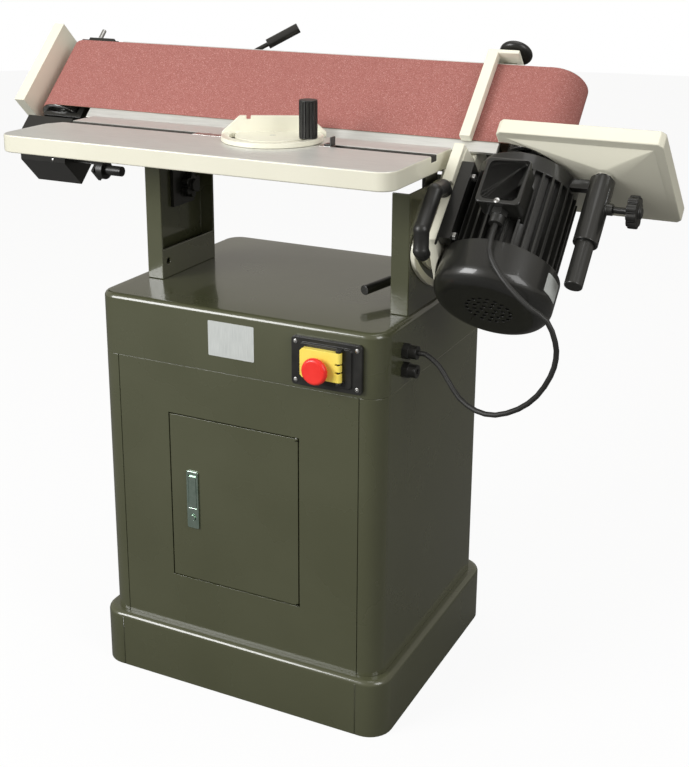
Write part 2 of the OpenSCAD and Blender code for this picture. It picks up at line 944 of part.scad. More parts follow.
module bracket_bolts() color(steel)
    for (right = [false, true], s = [-1, 1])
        bracket_bolt_place(right, s) {
            rod_z(-bracket_t, table_t - table_skin - table_wear, bracket_bolt_r);
            translate([0, 0, -bracket_t - bracket_bolt_r])
                cylinder(h = bracket_bolt_r, r = bracket_bolt_head, $fn = 6);
        }

module table_knob() {
    x0 = column_t + bracket_t + 2 * slip;
    translate([0, lock_y, lock_z]) {
        rod_x(0, x0 + lock_knob_t / 2, lock_stud_r);
        translate([x0, 0, 0]) rotate([0, 90, 0])
            lobed_knob(lock_knob_r, lock_knob_t, lock_lobes, lock_hub_r);
    }
}

module left_table_knob() color(black) at_column(false) table_knob();

module right_table_knob() color(black) at_column(true) table_knob();

// Mitre gauge in the slot

module gauge_bar() color(steel) {
    slab([bar_x0, slot_y - bar_w / 2, table_z1 - bar_h],
        [bar_x0 + gauge_bar_len, slot_y + bar_w / 2, table_z1]);
    translate([gauge_x, slot_y, table_z1]) rod_z(0, gauge_base_t + gauge_low, gauge_pin_r);
}

module gauge_pointer() color(black) {
    x1 = bar_x0 + gauge_bar_len;
    x0 = x1 - pointer_len + pointer_t;
    slab([x0, slot_y - pointer_w / 2, table_z1], [x1, slot_y + pointer_w / 2, table_z1 + pointer_t]);
    slab([x1 - pointer_t, slot_y - pointer_w / 2, table_z1],
        [x1, slot_y + pointer_w / 2, table_z1 + pointer_h]);
}

module gauge_place() translate([gauge_x, slot_y, table_z1 + gauge_low]) children();

// Curved slot that the gauge's clamp stud runs in
module gauge_slot() {
    reach = gauge_r * 2;
    intersection() {
        difference() {
            circle(gauge_stud_at + gauge_slot_w / 2);
            circle(gauge_stud_at - gauge_slot_w / 2);
        }
        polygon([
            [0, 0], [-reach * sin(gauge_slot_half), -reach * cos(gauge_slot_half)], [0, -reach * 2],
            [reach * sin(gauge_slot_half), -reach * cos(gauge_slot_half)]
        ]);
    }
    for (s = [-1, 1])
        translate(gauge_stud_at * [s * sin(gauge_slot_half), -cos(gauge_slot_half)])
            circle(gauge_slot_w / 2 + run_dip);
}

module gauge_head() color(cream) gauge_place() rotate([0, 0, gauge_set]) difference() {
    union() {
        linear_extrude(gauge_base_t) difference() {
            intersection() {
                circle(gauge_r);
                translate([-gauge_r, -gauge_r]) square([2 * gauge_r, gauge_r + gauge_wall0]);
            }
            gauge_slot();
        }
        translate([0, gauge_wall0 + gauge_wall_t, 0]) rotate([90, 0, 0]) linear_extrude(gauge_wall_t)
            polygon([
                [-gauge_left, 0], [gauge_right, 0], [gauge_right, gauge_base_t],
                [gauge_right - gauge_wall_slope, gauge_wall_h],
                [gauge_wall_slope - gauge_left, gauge_wall_h], [-gauge_left, gauge_base_t]
            ]);
    }
    rod_z(-over, gauge_base_t + over, gauge_pin_r + run);
    translate([-gauge_notch_at, gauge_wall0 - over, gauge_wall_h - gauge_notch_h])
        cube([gauge_notch_w, gauge_wall_t + 2 * over, gauge_notch_h + over]);
}

module gauge_knob() color(black) gauge_place() translate([gauge_stud_at, 0, 0]) {
    rod_z(-gauge_low, gauge_base_t + gauge_knob_h / 2, gauge_stud_r);
    difference() {
        rod_z(gauge_base_t + slip, gauge_base_t + slip + gauge_knob_h, gauge_knob_r);
        for (i = [0:gauge_knob_flutes - 1])
            rotate([0, 0, i * 360 / gauge_knob_flutes]) translate([gauge_knob_r + flute_r / 2, 0, 0])
                rod_z(gauge_base_t + flute_r, gauge_base_t + gauge_knob_h - flute_r, flute_r);
    }
}

// Belt, rollers and frame, in head coordinates

module loop_outline(grow) {
    a = [idler_x, idler_q];
    b = [drum_x, drum_q];
    translate(a) circle(idler_r + grow);
    translate(b) circle(drum_r + grow);
    polygon([
        a - [0, idler_r + grow - run_dip], b - [0, drum_r + grow - run_dip],
        b + (drum_r + grow - run_dip) * rear_n, a + (idler_r + grow - run_dip) * rear_n
    ]);
}

module sanding_belt() color(abrasive) head() linear_extrude(belt_w) difference() {
    loop_outline(slip + belt_t);
    loop_outline(slip);
}

module platen() color(steel) head()
    slab([idler_x + platen_left, platen_q, -platen_low],
        [drum_x - platen_right, platen_q + platen_t, belt_w + platen_high]);

module head_frame() color(olive) head() difference() {
    union() {
        slab([frame_x0, frame_q, frame_low], [frame_x1, frame_q + frame_t, frame_z1]);
        for (z = [frame_low, frame_z1 - frame_t])
            slab([frame_x0, frame_q, z], [frame_x1, frame_q1, z + frame_t]);
        slab([guide_x0, frame_q, rail_z - rail_s / 2 - guide_wall],
            [guide_x0 + guide_len, rail_q + rail_s / 2 + guide_wall, rail_z + rail_s / 2 + guide_wall]);
        translate([lever_x, lever_q, 0]) rod_z(frame_z1 - frame_t, frame_z1 + frame_t, lever_hub_r);
        slab([stop_stud_x - stop_post_r, frame_q, frame_z1 - frame_t],
            [stop_stud_x + stop_post_r, stop_stud_q + stop_post_r, stop_arm_z]);
    }
    slab([guide_x0 - over, rail_q - rail_s / 2 - slip, rail_z - rail_s / 2 - slip],
        [guide_x0 + guide_len + over, rail_q + rail_s / 2 + slip, rail_z + rail_s / 2 + slip]);
    translate([lever_x, lever_q, 0])
        rod_z(frame_z1 - frame_t - over, frame_z1 + frame_t + over, lever_shaft_r + run);
    translate([stop_stud_x, stop_stud_q, 0])
        rod_z(stop_arm_z - stop_post_r, stop_arm_z + over, stop_stud_r + run);
    for (x = trunnion_bolt_xs(), q = saddle_bolt_qs())
        translate([x, q, frame_low - over]) cylinder(h = frame_t + 2 * over, r = saddle_bolt_r);
}

function left_saddle_x1() = column_x0 - trunnion_gap;
function trunnion_bolt_xs() = [
    left_saddle_x1() - saddle_w + saddle_bolt_head * 2, left_saddle_x1() - saddle_bolt_head * 2,
    trunnion_x0 + saddle_bolt_head * 2, motor_plate_x + motor_plate_t - saddle_bolt_head * 2
];
function saddle_bolt_qs() = [saddle_q0 + saddle_bolt_head * 1.5, saddle_q1 - saddle_bolt_head * 1.5];

module drive_drum() color(steel) head() translate([drum_x, drum_q, 0]) {
    difference() {
        rod_z(-drum_over, belt_w + drum_over, drum_r);
        for (z = [-drum_over - over, belt_w / 2 + drum_wall / 2])
            difference() {
                rod_z(z, z + belt_w / 2 + drum_over + over - drum_wall / 2, drum_r - drum_wall);
                rod_z(z - over, z + belt_w, drum_hub_r);
            }
    }
    rod_z(cover_z0 + cover_t + fan_gap, -drum_over, shaft_r);
}

module motor_fan() color(black) head() translate([drum_x, drum_q, cover_z0 + cover_t + fan_gap]) {
    difference() {
        rod_z(0, fan_w, fan_hub_r);
        rod_z(-over, fan_w + over, shaft_r);
    }
    difference() {
        rod_z(fan_w - fan_t, fan_w, fan_r);
        rod_z(-over, fan_w + over, fan_hub_r);
    }
    for (i = [0:fan_blades - 1])
        rotate([0, 0, i * 360 / fan_blades])
            slab([fan_hub_r - over, -fan_t / 2, 0], [fan_r, fan_t / 2, fan_w]);
}

module idler_roller() color(steel) head() translate([idler_x, idler_q, 0]) difference() {
    rod_z(0, belt_w, idler_r);
    rod_z(-over, belt_w + over, axle_r + run);
    for (z = [-over, belt_w - roller_wall * 2])
        difference() {
            rod_z(z, z + roller_wall * 2 + over, idler_r - roller_wall);
            rod_z(z - over, z + belt_w, axle_r + roller_wall);
        }
}

module idler_axle() color(steel) head() {
    translate([idler_x, idler_q, 0]) {
        rod_z(-arm_gap - arm_t, arm_top, axle_r);
        translate([0, 0, arm_top]) cylinder(h = axle_bolt_h, r = axle_bolt_r, $fn = 6);
        rod_z(arm_top + axle_bolt_h, arm_top + 2 * axle_bolt_h, axle_r / 2);
    }
    translate([idler_x + arm_screw_at, arm_q0 + arm_screw_r + slip, arm_top + arm_cap_t])
        rod_z(0, arm_screw_h, arm_screw_r);
}

module idler_carriage() color(black) head() difference() {
    union() {
        for (z = [-arm_gap - arm_t, belt_w + arm_gap])
            slab([idler_x - arm_w / 2, arm_q0, z], [yoke_x0 + yoke_t, arm_q1, z + arm_t]);
        slab([yoke_x0, arm_q0, -arm_gap - arm_t], [yoke_x0 + yoke_t, arm_q1, arm_top]);
        slab([idler_x - arm_cap_left, arm_q0, arm_top],
            [idler_x + arm_cap_right, arm_q0 + arm_cap_d, arm_top + arm_cap_t]);
        slab([yoke_x0, rail_q - rail_s / 2, rail_z - rail_s / 2],
            [rail_x1, rail_q + rail_s / 2, rail_z + rail_s / 2]);
        slab([cam_x - cam_r - cam_play - cam_rim, lever_q - cam_r - cam_rim, rail_z - rail_s / 2],
            [rail_x1, lever_q + cam_r + cam_off + cam_rim, rail_z + rail_s / 2]);
    }
    slab([cam_x - cam_r - cam_play, lever_q - cam_r - slip, rail_z - rail_s],
        [cam_x + cam_r + slip, lever_q + cam_r + cam_off + slip, rail_z + rail_s]);
    translate([idler_x, idler_q, 0])
        rod_z(-arm_gap - arm_t - over, arm_top + arm_cap_t + over, axle_r);
}

function spring_start() = yoke_x0 + yoke_t + spring_wire + slip;
function spring_end() = guide_x0 - spring_wire - slip;
function spring_points() = [
    for (i = [0:spring_turns * spring_rings])
        let(a = i * 360 / spring_rings, s = i / (spring_turns * spring_rings))
            [spring_start() + s * (spring_end() - spring_start()),
                rail_q + spring_r * cos(a), rail_z + spring_r * sin(a)]
];

// Least gap between curls: the nearest two points half a turn or more apart, less the wire
function spring_gap() = let(p = spring_points(), last = len(p) - 1)
    min([for (i = [0:last], j = [0:last]) if (j - i >= spring_rings / 2) norm(p[i] - p[j])])
        - 2 * spring_wire;

module tension_spring() {
    echo(least_gap_between_spring_curls_mm = spring_gap());
    color(steel) head() swept_tube(spring_points(), spring_wire, spring_sides, [1, 0, 0]);
}

module tension_lever() color(black) head() translate([lever_x, lever_q, 0]) {
    z1 = frame_z1 + frame_t + slip;
    rod_z(rail_z + rail_s / 2 + slip, z1 + lever_hub_h, lever_shaft_r);
    rod_z(z1, z1 + lever_hub_h, lever_hub_r);
    translate([-cam_off, 0, 0]) rod_z(rail_z - rail_s / 2, rail_z + rail_s / 2 + slip, cam_r);
    translate([0, 0, z1 + lever_hub_h / 2]) rotate([0, -lever_rise, 0]) {
        rod_x(0, lever_rod + lever_grip / 2, lever_rod_r);
        rod_x(lever_rod, lever_rod + lever_grip, lever_grip_r);
    }
}

// Trunnions, tilt pins and the tilt lock

module pivot_place() translate([0, pivot_q, pivot_h]) children();

module left_trunnion() color(cream) head() difference() {
    x1 = left_saddle_x1();
    union() {
        slab([x1 - saddle_w, saddle_q0, frame_low - saddle_t], [x1, saddle_q1, frame_low]);
        slab([x1 - trunnion_t, pivot_q - left_hub_r, pivot_h], [x1, pivot_q + left_hub_r, frame_low]);
        pivot_place() rod_x(x1 - trunnion_t, x1, left_hub_r);
    }
    pivot_place() rod_x(x1 - trunnion_t - over, x1 + over, pin_r);
    for (i = [0, 1], q = saddle_bolt_qs())
        translate([trunnion_bolt_xs()[i], q, frame_low - saddle_t - over])
            cylinder(h = saddle_t + 2 * over, r = saddle_bolt_r);
}

// Quadrant outline about the tilt axis: first coordinate to the rear, second upwards
module quadrant() {
    corner_h = -sqrt(pow(quad_r - quad_corner + slip, 2) - pow(quad_corner - quad_front, 2));
    corner_q = quad_corner - quad_front;
    top = frame_low - pivot_h - saddle_t;
    polygon([
        [-quad_neck, -quad_neck_low], [-quad_front, quad_neck - quad_front - quad_neck_low],
        [-quad_front, corner_h], [corner_q, corner_h], [corner_q + quad_corner, 0],
        [saddle_q1 - pivot_q, top], [-quad_neck, top]
    ]);
    translate([corner_q, corner_h]) circle(quad_corner);
    intersection() {
        circle(quad_r);
        polygon([
            [0, 0], quad_r * 2 * unit([corner_q, corner_h]),
            quad_r * 2 * [sin(quad_rear), -cos(quad_rear)]
        ]);
    }
}

module right_trunnion() color(cream) head() difference() {
    union() {
        slab([trunnion_x0, saddle_q0, frame_low - saddle_t],
            [motor_plate_x + motor_plate_t, saddle_q1, frame_low]);
        pivot_place() translate([trunnion_x0, 0, 0]) rotate([90, 0, 90])
            linear_extrude(trunnion_t) quadrant();
        translate([motor_plate_x, 0, 0]) rotate([90, 0, 90]) linear_extrude(motor_plate_t)
            polygon([
                [saddle_q0, frame_low - saddle_t], [saddle_q0, -platen_low - saddle_t],
                [motor_plate_q0, block_z1], [motor_plate_q0, -motor_plate_low],
                [saddle_q1, -motor_plate_low - motor_plate_tip],
                [motor_plate_q1, -motor_plate_low], [motor_plate_q1, block_z1],
                [saddle_q1, frame_low - saddle_t]
            ]);
        slab([trunnion_x0, pivot_q - quad_neck, -motor_plate_low / 2],
            [motor_plate_x, pivot_q - quad_neck + trunnion_t, frame_low - saddle_t]);
        slab([motor_plate_x - block_w / 4, motor_plate_q0 - block_q / 2, block_z0],
            [motor_plate_x + block_w * 3 / 4, motor_plate_q0 + block_q / 2, block_z1]);
    }
    translate([drum_x, drum_q, 0]) rod_z(cover_z0 - over, cover_z1 + cover_gap, cover_r + cover_gap);
    pivot_place() rod_x(trunnion_x0 - over, trunnion_x0 + trunnion_t + over, pin_r);
    pivot_place() translate([trunnion_x0 - over, 0, 0]) rotate([90, 0, 90]) {
        rotate([0, 0, -90 - lock_lead]) rotate_extrude(angle = head_lean)
            translate([lock_radius - lock_slot_r, 0]) square([2 * lock_slot_r, trunnion_t + 2 * over]);
        for (a = [-90 - lock_lead, head_lean - 90 - lock_lead])
            rotate([0, 0, a]) translate([lock_radius, 0, 0])
                cylinder(h = trunnion_t + 2 * over, r = lock_slot_r + run_dip);
    }
    for (i = [2, 3], q = saddle_bolt_qs())
        translate([trunnion_bolt_xs()[i], q, frame_low - saddle_t - over])
            cylinder(h = saddle_t + 2 * over, r = saddle_bolt_r);
    for (q = foot_qs(), z = foot_zs())
        translate([motor_plate_x - over, q, z]) rod_x(0, motor_plate_t + 2 * over, motor_foot_bolt_r);
}

module tilt_pins() color(steel) head() pivot_place() {
    rod_x(left_saddle_x1() - trunnion_t, column_x0 + column_t + ear_boss, pin_r);
    rod_x(column_x1 - column_t - ear_boss, trunnion_x0 + trunnion_t, pin_r);
}

module trunnion_bolts() color(steel) head()
    for (x = trunnion_bolt_xs(), q = saddle_bolt_qs())
        translate([x, q, 0]) {
            rod_z(frame_low - saddle_t, frame_low + frame_t, saddle_bolt_r);
            translate([0, 0, frame_low + frame_t])
                cylinder(h = saddle_bolt_h, r = saddle_bolt_head, $fn = 6);
        }

module tilt_lock_lever() color(black) translate([0, lock_stud_y, lock_stud_z]) {
    x1 = column_x1 - column_t - slip;
    x0 = x1 - column_w - tilt_hub_len;
    rod_x(x1 - column_w, trunnion_x0 + trunnion_t + tilt_nut_t, tilt_stud_r);
    rod_x(x0, x1, tilt_hub_r - tilt_fall);
    rod_x(x0, x0 + tilt_hub_len, tilt_hub_r);
    translate([trunnion_x0 + trunnion_t + slip, 0, 0]) rotate([0, 90, 0])
        cylinder(h = tilt_nut_t, r = tilt_nut_r, $fn = 6);
    translate([x0 + tilt_hub_len / 2, 0, 0]) rotate([tilt_fall, 0, -tilt_swing]) {
        rod_y(-tilt_arm, 0, tilt_arm_r);
        rod_y(-tilt_arm, tilt_grip - tilt_arm, tilt_grip_r);
    }
}

module tilt_handle() color(black) head() translate([handle_x, motor_plate_q0, 0]) {
    rise = (handle_z1 - handle_z0) / 5;
    for (z = [handle_z0, handle_z1]) translate([0, 0, z]) rod_y(-handle_foot, 0, handle_r);
    corners = [
        [0, -handle_foot, handle_z0], [0, -handle_out, handle_z0 + rise],
        [0, -handle_out, handle_z1 - rise], [0, -handle_foot, handle_z1]
    ];
    for (i = [0:2]) bar_between(corners[i], corners[i + 1], handle_r);
}

// Motor

function foot_qs() = [drum_q - foot_half, drum_q + foot_half];
function foot_zs() = [fin_z0 + foot_pad, fin_z1 - foot_pad];

module motor_housing() color(black) head() difference() {
    union() {
        translate([drum_x, drum_q, fin_z0]) linear_extrude(fin_len) {
            circle(fin_root_r);
            for (i = [0:fin_count - 1])
                rotate(i * 360 / fin_count) translate([fin_root_r / 2, -fin_w / 2])
                    square([fin_r - fin_root_r / 2, fin_w]);
        }
        for (q = foot_qs())
            slab([motor_plate_x + motor_plate_t, q - foot_w / 2, fin_z0],
                [motor_plate_x + motor_plate_t + foot_w, q + foot_w / 2, fin_z1]);
        slab([motor_plate_x + motor_plate_t + foot_w / 2, drum_q - foot_half, fin_z0],
            [motor_plate_x + motor_plate_t + foot_w, drum_q + foot_half, fin_z1]);
        slab([box_x - box_w / 2 + box_r, gland_q + box_r, box_z0 + box_r],
            [box_x + box_w / 2 - box_r, drum_q - fin_root_r / 2, box_z0 + box_len - box_r]);
    }
    translate([drum_x, drum_q, 0]) rod_z(fin_z0 - over, fin_z1 + over, shaft_r + slip);
    translate([drum_x, drum_q, 0]) difference() {
        rod_z(fin_z0 - over, fin_z0 + cover_lap, cover_r + foot_w);
        rod_z(fin_z0 - 2 * over, fin_z0 + cover_lap + over, fin_root_r);
    }
    slab([box_x - box_w, box_q0 - over, box_z0],
        [box_x + box_w, gland_q + box_wall + box_r, box_z0 + box_len]);
    for (q = foot_qs(), z = foot_zs())
        translate([motor_plate_x + motor_plate_t - over, q, z])
            rod_x(0, foot_w + 2 * over, motor_foot_bolt_r);
}

module motor_end_bell() color(black) head() translate([drum_x, drum_q, 0]) difference() {
    union() {
        rod_z(fin_z1, motor_top, fin_r - fin_w);
        rod_z(motor_top, motor_top + bell_boss_h, bell_boss_r);
    }
    rod_z(fin_z1 - over, motor_top + bell_boss_h + over, shaft_r + slip);
}

module fan_cover() color(black) head() translate([drum_x, drum_q, 0]) difference() {
    rotate_extrude() cover_profile(0);
    rotate_extrude() cover_profile(cover_t);
    for (k = [1:vent_rings], i = [0:6 * k - 1])
        rotate([0, 0, i * 60 / k]) translate([k * vent_step, 0, cover_z0 - over])
            cylinder(h = cover_t + 2 * over, r = vent_r);
}

module cover_profile(in) {
    r = cover_r - in;
    round_r = cover_round - in;
    z0 = cover_z0 + in;
    z1 = in > 0 ? cover_z1 + over : cover_z1;
    translate([0, z0]) square([r - round_r, z1 - z0]);
    translate([0, z0 + round_r]) square([r, z1 - z0 - round_r]);
    translate([r - round_r, z0 + round_r]) intersection() {
        circle(round_r);
        translate([0, -round_r]) square(round_r);
    }
}

module box_outline(grow) translate([box_x, box_z0 + box_len / 2])
    round_rect(box_w + 2 * grow, box_len + 2 * grow, box_r);

module terminal_box() color(black) head() difference() {
    translate([0, gland_q + box_wall + box_r, 0]) rotate([90, 0, 0])
        linear_extrude(gland_q + box_wall + box_r - box_q0) box_outline(0);
    translate([0, gland_q + box_r, 0]) rotate([90, 0, 0])
        linear_extrude(gland_q + box_r - box_q0 + over) box_outline(-box_wall);
    translate([box_x, gland_q - box_r / 2, box_z0 - over]) rod_z(0, box_wall + 2 * over, gland_neck_r);
}

module terminal_lid() color(black) head() difference() {
    translate([0, box_q0, 0]) rotate([90, 0, 0]) linear_extrude(lid_t) box_outline(lid_out);
    translate([0, box_q0 - lid_t + lid_dip, 0]) rotate([90, 0, 0])
        linear_extrude(lid_dip + over) box_outline(-lid_edge);
}

// A cable gland along Z: hexagon, clamp nut and neck, bored for the cable
module gland(neck) difference() {
    union() {
        rod_z(-neck, 0, gland_neck_r);
        cylinder(h = gland_hex_h, r = gland_hex_r, $fn = 6);
        rod_z(gland_hex_h, gland_hex_h + gland_nut_h, gland_nut_r);
    }
    rod_z(-neck - over, gland_hex_h + gland_nut_h + over, cable_r);
}

module motor_gland() color(black) head()
    translate([box_x, gland_q - box_r / 2, box_z0]) mirror([0, 0, 1]) gland(box_wall);

module cable_glands() color(black)
    for (i = [0, 1])
        translate([cabinet_w / 2, cap_gland_y, cap_gland_z - i * cap_gland_step])
            rotate([0, 90, 0]) gland(sheet_t);

module motor_bolts() color(steel) head()
    for (q = foot_qs(), z = foot_zs())
        translate([motor_plate_x, q, z]) {
            rod_x(0, motor_plate_t + foot_w + washer_t, motor_foot_bolt_r);
            translate([motor_plate_t + foot_w, 0, 0]) rotate([0, 90, 0])
                cylinder(h = motor_foot_h, r = motor_foot_head, $fn = 6);
        }

// The route between the two glands, with a point added halfway along each bend
function motor_gland_out(d) =
    head_point([box_x, gland_q - box_r / 2, box_z0 - gland_hex_h - gland_nut_h - d]);
function cap_gland_out(d) = [cabinet_w / 2 + gland_hex_h + gland_nut_h + d, cap_gland_y, cap_gland_z];
function cable_points() = concat([motor_gland_out(0), motor_gland_out(cable_straight)], cable_route,
    [cap_gland_out(cable_straight), cap_gland_out(0)]);
function halfway(p, i) = i < 1 || i > len(p) - 3 ? (p[i] + p[i + 1]) / 2
    : (9 * (p[i] + p[i + 1]) - p[i - 1] - p[i + 2]) / 16;
function cable_path() = let(p = cable_points())
    [for (i = [0:len(p) - 1]) each i < len(p) - 1 ? [p[i], halfway(p, i)] : [p[i]]];

module motor_cable() color(black) swept_tube(cable_path(), cable_r, cable_sides, [0, 1, 0]);

// Guards, hood and tracking knob at the idler end

module end_guard() color(cream) head() {
    slab([guard_x, guard_q0, guard_z0], [guard_x + guard_t, guard_q1, guard_z1]);
    slab([guard_x - guard_lip, guard_q0, guard_z0], [guard_x, guard_q0 + guard_t, guard_z1]);
    for (z = [guard_z0, guard_z1 - guard_t])
        slab([guard_x - guard_lip, guard_q0 + guard_t, z], [guard_x, guard_q1, z + guard_t]);
    slab([guard_x + guard_t, guard_q1 - guard_t, guard_arm_z0],
        [rear_x0 + guard_lap, guard_q1, guard_arm_z1]);
}

module rear_cover() color(cream) head() {
    slab([rear_x0, rear_q, rear_z0], [rear_x1, rear_q + rear_t, rear_z1]);
    for (i = [0:rear_bridges - 1])
        translate([rear_x0 + (i + 0.5) * (rear_x1 - rear_x0) / rear_bridges, 0, 0]) {
            slab([-rear_bridge_w / 2, frame_q1 - rear_lip * 2, rear_z1 - rear_t],
                [rear_bridge_w / 2, rear_q, rear_z1]);
            slab([-rear_bridge_w / 2, frame_q1 - rear_lip * 2, frame_z1],
                [rear_bridge_w / 2, frame_q1 - rear_lip * 2 + rear_t, rear_z1]);
        }
}

module hood_outline(in) polygon([
    [hood_q0 + in, hood_z1 + (in > 0 ? over : 0)], [hood_q0 + in, hood_z0 + hood_slope],
    [hood_q0 + hood_slope + in / 2, hood_z0 + in], [hood_q1 - in, hood_z0 + in],
    [hood_q1 - in, hood_z1 + (in > 0 ? over : 0)]
]);

module dust_hood() color(black) head() difference() {
    union() {
        translate([hood_x0, 0, 0]) rotate([90, 0, 90]) linear_extrude(hood_x1 - hood_x0) hood_outline(0);
        translate([(hood_x0 + hood_x1) / 2, 0, outlet_z]) rod_y(hood_q1, hood_q1 + outlet_len, outlet_r);
        slab([hood_x1, hood_q0 + hood_slope, hood_z1 - hood_t], [track_x, hood_q1, hood_z1]);
        slab([track_x - track_arm_t, track_q - track_arm_w / 2, track_z - track_arm_w / 2],
            [track_x, track_q + track_arm_w / 2, hood_z1]);
        slab([hood_x1 - hood_t, track_q - track_arm_w / 2, track_z],
            [track_x, track_q - track_arm_w / 2 + hood_t, hood_z1]);
        slab([hood_x1 - hood_t, hood_q1 - hood_t, hood_z1], [hood_x1 + hood_hang_w, hood_q1, guard_arm_z1]);
    }
    translate([hood_x0 + hood_t, 0, 0]) rotate([90, 0, 90])
        linear_extrude(hood_x1 - hood_x0 - 2 * hood_t) hood_outline(hood_t);
    translate([(hood_x0 + hood_x1) / 2, 0, outlet_z])
        rod_y(hood_q1 - hood_t - over, hood_q1 + outlet_len + over, outlet_r - hood_t);
    translate([track_x - track_arm_t - over, track_q, track_z])
        rod_x(0, track_arm_t + 2 * over, track_stud_r + run);
}

module tracking_knob() color(black) head() translate([track_x, track_q, track_z]) {
    rod_x(-track_arm_t, slip, track_stud_r);
    rod_x(slip, track_hub_t, track_hub_r);
    rod_x(track_hub_t, track_hub_t + track_grip, track_grip_r);
}

// Work stop

module work_stop() color(cream) head() difference() {
    union() {
        slab([stop_x, -stop_gap - stop_t, stop_low], [stop_x + stop_w, -stop_gap, stop_arm_z + stop_arm_t]);
        slab([stop_x, -stop_gap - stop_t, stop_arm_z],
            [stop_x + stop_arm_w, stop_arm_q, stop_arm_z + stop_arm_t]);
    }
    translate([stop_stud_x, stop_stud_q, 0])
        rod_z(stop_arm_z - over, stop_arm_z + stop_arm_t + over, stop_stud_r + run);
}

module stop_knob() color(black) head() translate([stop_stud_x, stop_stud_q, 0]) {
    z0 = stop_arm_z + stop_arm_t + slip;
    rod_z(stop_arm_z - stop_post_r, z0 + stop_knob_rise, stop_stud_r);
    rod_z(z0, z0 + stop_knob_rise, stop_post_r);
    translate([0, 0, z0 + stop_knob_rise]) rotate_extrude() {
        square([stop_knob_r - stop_knob_t / 2, stop_knob_t]);
        translate([stop_knob_r - stop_knob_t / 2, stop_knob_t / 2]) intersection() {
            circle(stop_knob_t / 2);
            translate([0, -stop_knob_t / 2]) square(stop_knob_t);
        }
    }
}

// Contour table

module contour_outline(in) difference() {
    polygon([
        [contour_x0 + in, contour_q0 + in + contour_chamfer],
        [contour_x0 + in + contour_chamfer, contour_q0 + in],
        [contour_x1 - in - contour_chamfer, contour_q0 + in],
        [contour_x1 - in, contour_q0 + in + contour_chamfer],
        [contour_x1 + contour_flare - in, contour_q1 - in - contour_chamfer],
        [contour_x1 + contour_flare - in - contour_chamfer, contour_q1 - in],
        [contour_x0 + in + contour_chamfer, contour_q1 - in],
        [contour_x0 + in, contour_q1 - in - contour_chamfer]
    ]);
    translate([drum_x, drum_q]) circle(contour_cut + in);
    translate([contour_x0 - over, contour_tongue - in]) square([drum_x - contour_x0 + over, contour_d * 2]);
}

module contour_table() color(cream) head() difference() {
    union() {
        translate([0, 0, contour_top - contour_rim]) linear_extrude(contour_rim) contour_outline(0);
        hull() {
            translate([0, 0, contour_top - contour_rim]) linear_extrude(contour_skin) polygon([
                [contour_x0 + contour_in, contour_q0 + contour_in],
                [contour_x1 - contour_in, contour_q0 + contour_in],
                [contour_x1 + contour_flare - contour_in, contour_q1 - contour_in],
                [contour_x0 + contour_in, contour_q1 - contour_in]
            ]);
            translate([post_x, post_q, -contour_drop]) cylinder(h = boss_t, r = boss_r, $fn = hull_fn);
        }
        translate([post_x, post_q, 0]) rod_z(-post_low, -contour_drop + boss_t, post_r);
    }
    translate([drum_x, drum_q, 0]) rod_z(-post_low, contour_top + over, contour_cut);
    slab([contour_x0 - over, contour_tongue, -post_low], [drum_x, contour_d * 2, contour_top + over]);
}

module post_clamp() color(black) head() difference() {
    union() {
        translate([post_x, post_q, 0]) rod_z(clamp_z0, clamp_z1, clamp_r);
        translate([post_x, post_q, clamp_stud_z]) rod_x(0, clamp_r + clamp_pad, clamp_pad_r);
        slab([drum_x + fin_root_r / 2, post_q, clamp_z1 - clamp_arm_h],
            [post_x, post_q + clamp_arm_t, clamp_z1]);
    }
    translate([post_x, post_q, 0]) rod_z(clamp_z0 - over, clamp_z1 + over, post_r + run);
    translate([drum_x, drum_q, 0]) rod_z(fin_z1 - over, motor_top + over, fin_r - fin_w);
    translate([post_x, post_q, clamp_stud_z]) rod_x(post_r, clamp_r + clamp_pad + over, clamp_stud_r + run);
}

module contour_knob() color(black) head() translate([post_x, post_q, clamp_stud_z]) {
    rod_x(post_r + slip, clamp_r + clamp_pad + clamp_stud_len, clamp_stud_r);
    translate([clamp_r + clamp_pad + clamp_stud_len - star_t, 0, 0]) rotate([0, 90, 0])
        lobed_knob(star_r, star_t, star_lobes, clamp_pad_r);
}

// Switch

module switch_housing() color(black) difference() {
    union() {
        translate([switch_x, front_y, switch_z]) rotate([90, 0, 0])
            linear_extrude(switch_t) round_rect(switch_w, switch_h, switch_r);
        translate([switch_x, front_y - switch_t, switch_z]) rotate([90, 0, 0])
            linear_extrude(switch_bezel_t) round_rect(switch_bezel_w, switch_bezel_h, switch_r);
        slab([switch_x - switch_bezel_w / 2 + switch_fit, front_y,
                switch_z - switch_bezel_h / 2 + switch_fit],
            [switch_x + switch_bezel_w / 2 - switch_fit, front_y + switch_deep,
            switch_z + switch_bezel_h / 2 - switch_fit]);
        translate([flap_pin_x(), flap_pin_y(), flap_z]) {
            rod_z(-flap_h / 2 - flap_ear, flap_h / 2 + flap_ear, flap_pin_r);
            for (s = [-1, 1])
                translate([0, 0, s * (flap_h / 2 + slip + flap_ear / 2)]) {
                    rod_z(-flap_ear / 2, flap_ear / 2, flap_t / 2);
                    slab([-flap_t / 2, 0, -flap_ear / 2], [flap_t / 2, flap_t / 2 + slip, flap_ear / 2]);
                }
        }
    }
    for (s = [-1, 1])
        translate([key_x(s), 0, flap_z])
            slab([-key_w / 2 - slip, front_y - switch_t - switch_bezel_t - over, -key_h / 2 - slip],
                [key_w / 2 + slip, front_y + key_in, key_h / 2 + slip]);
}

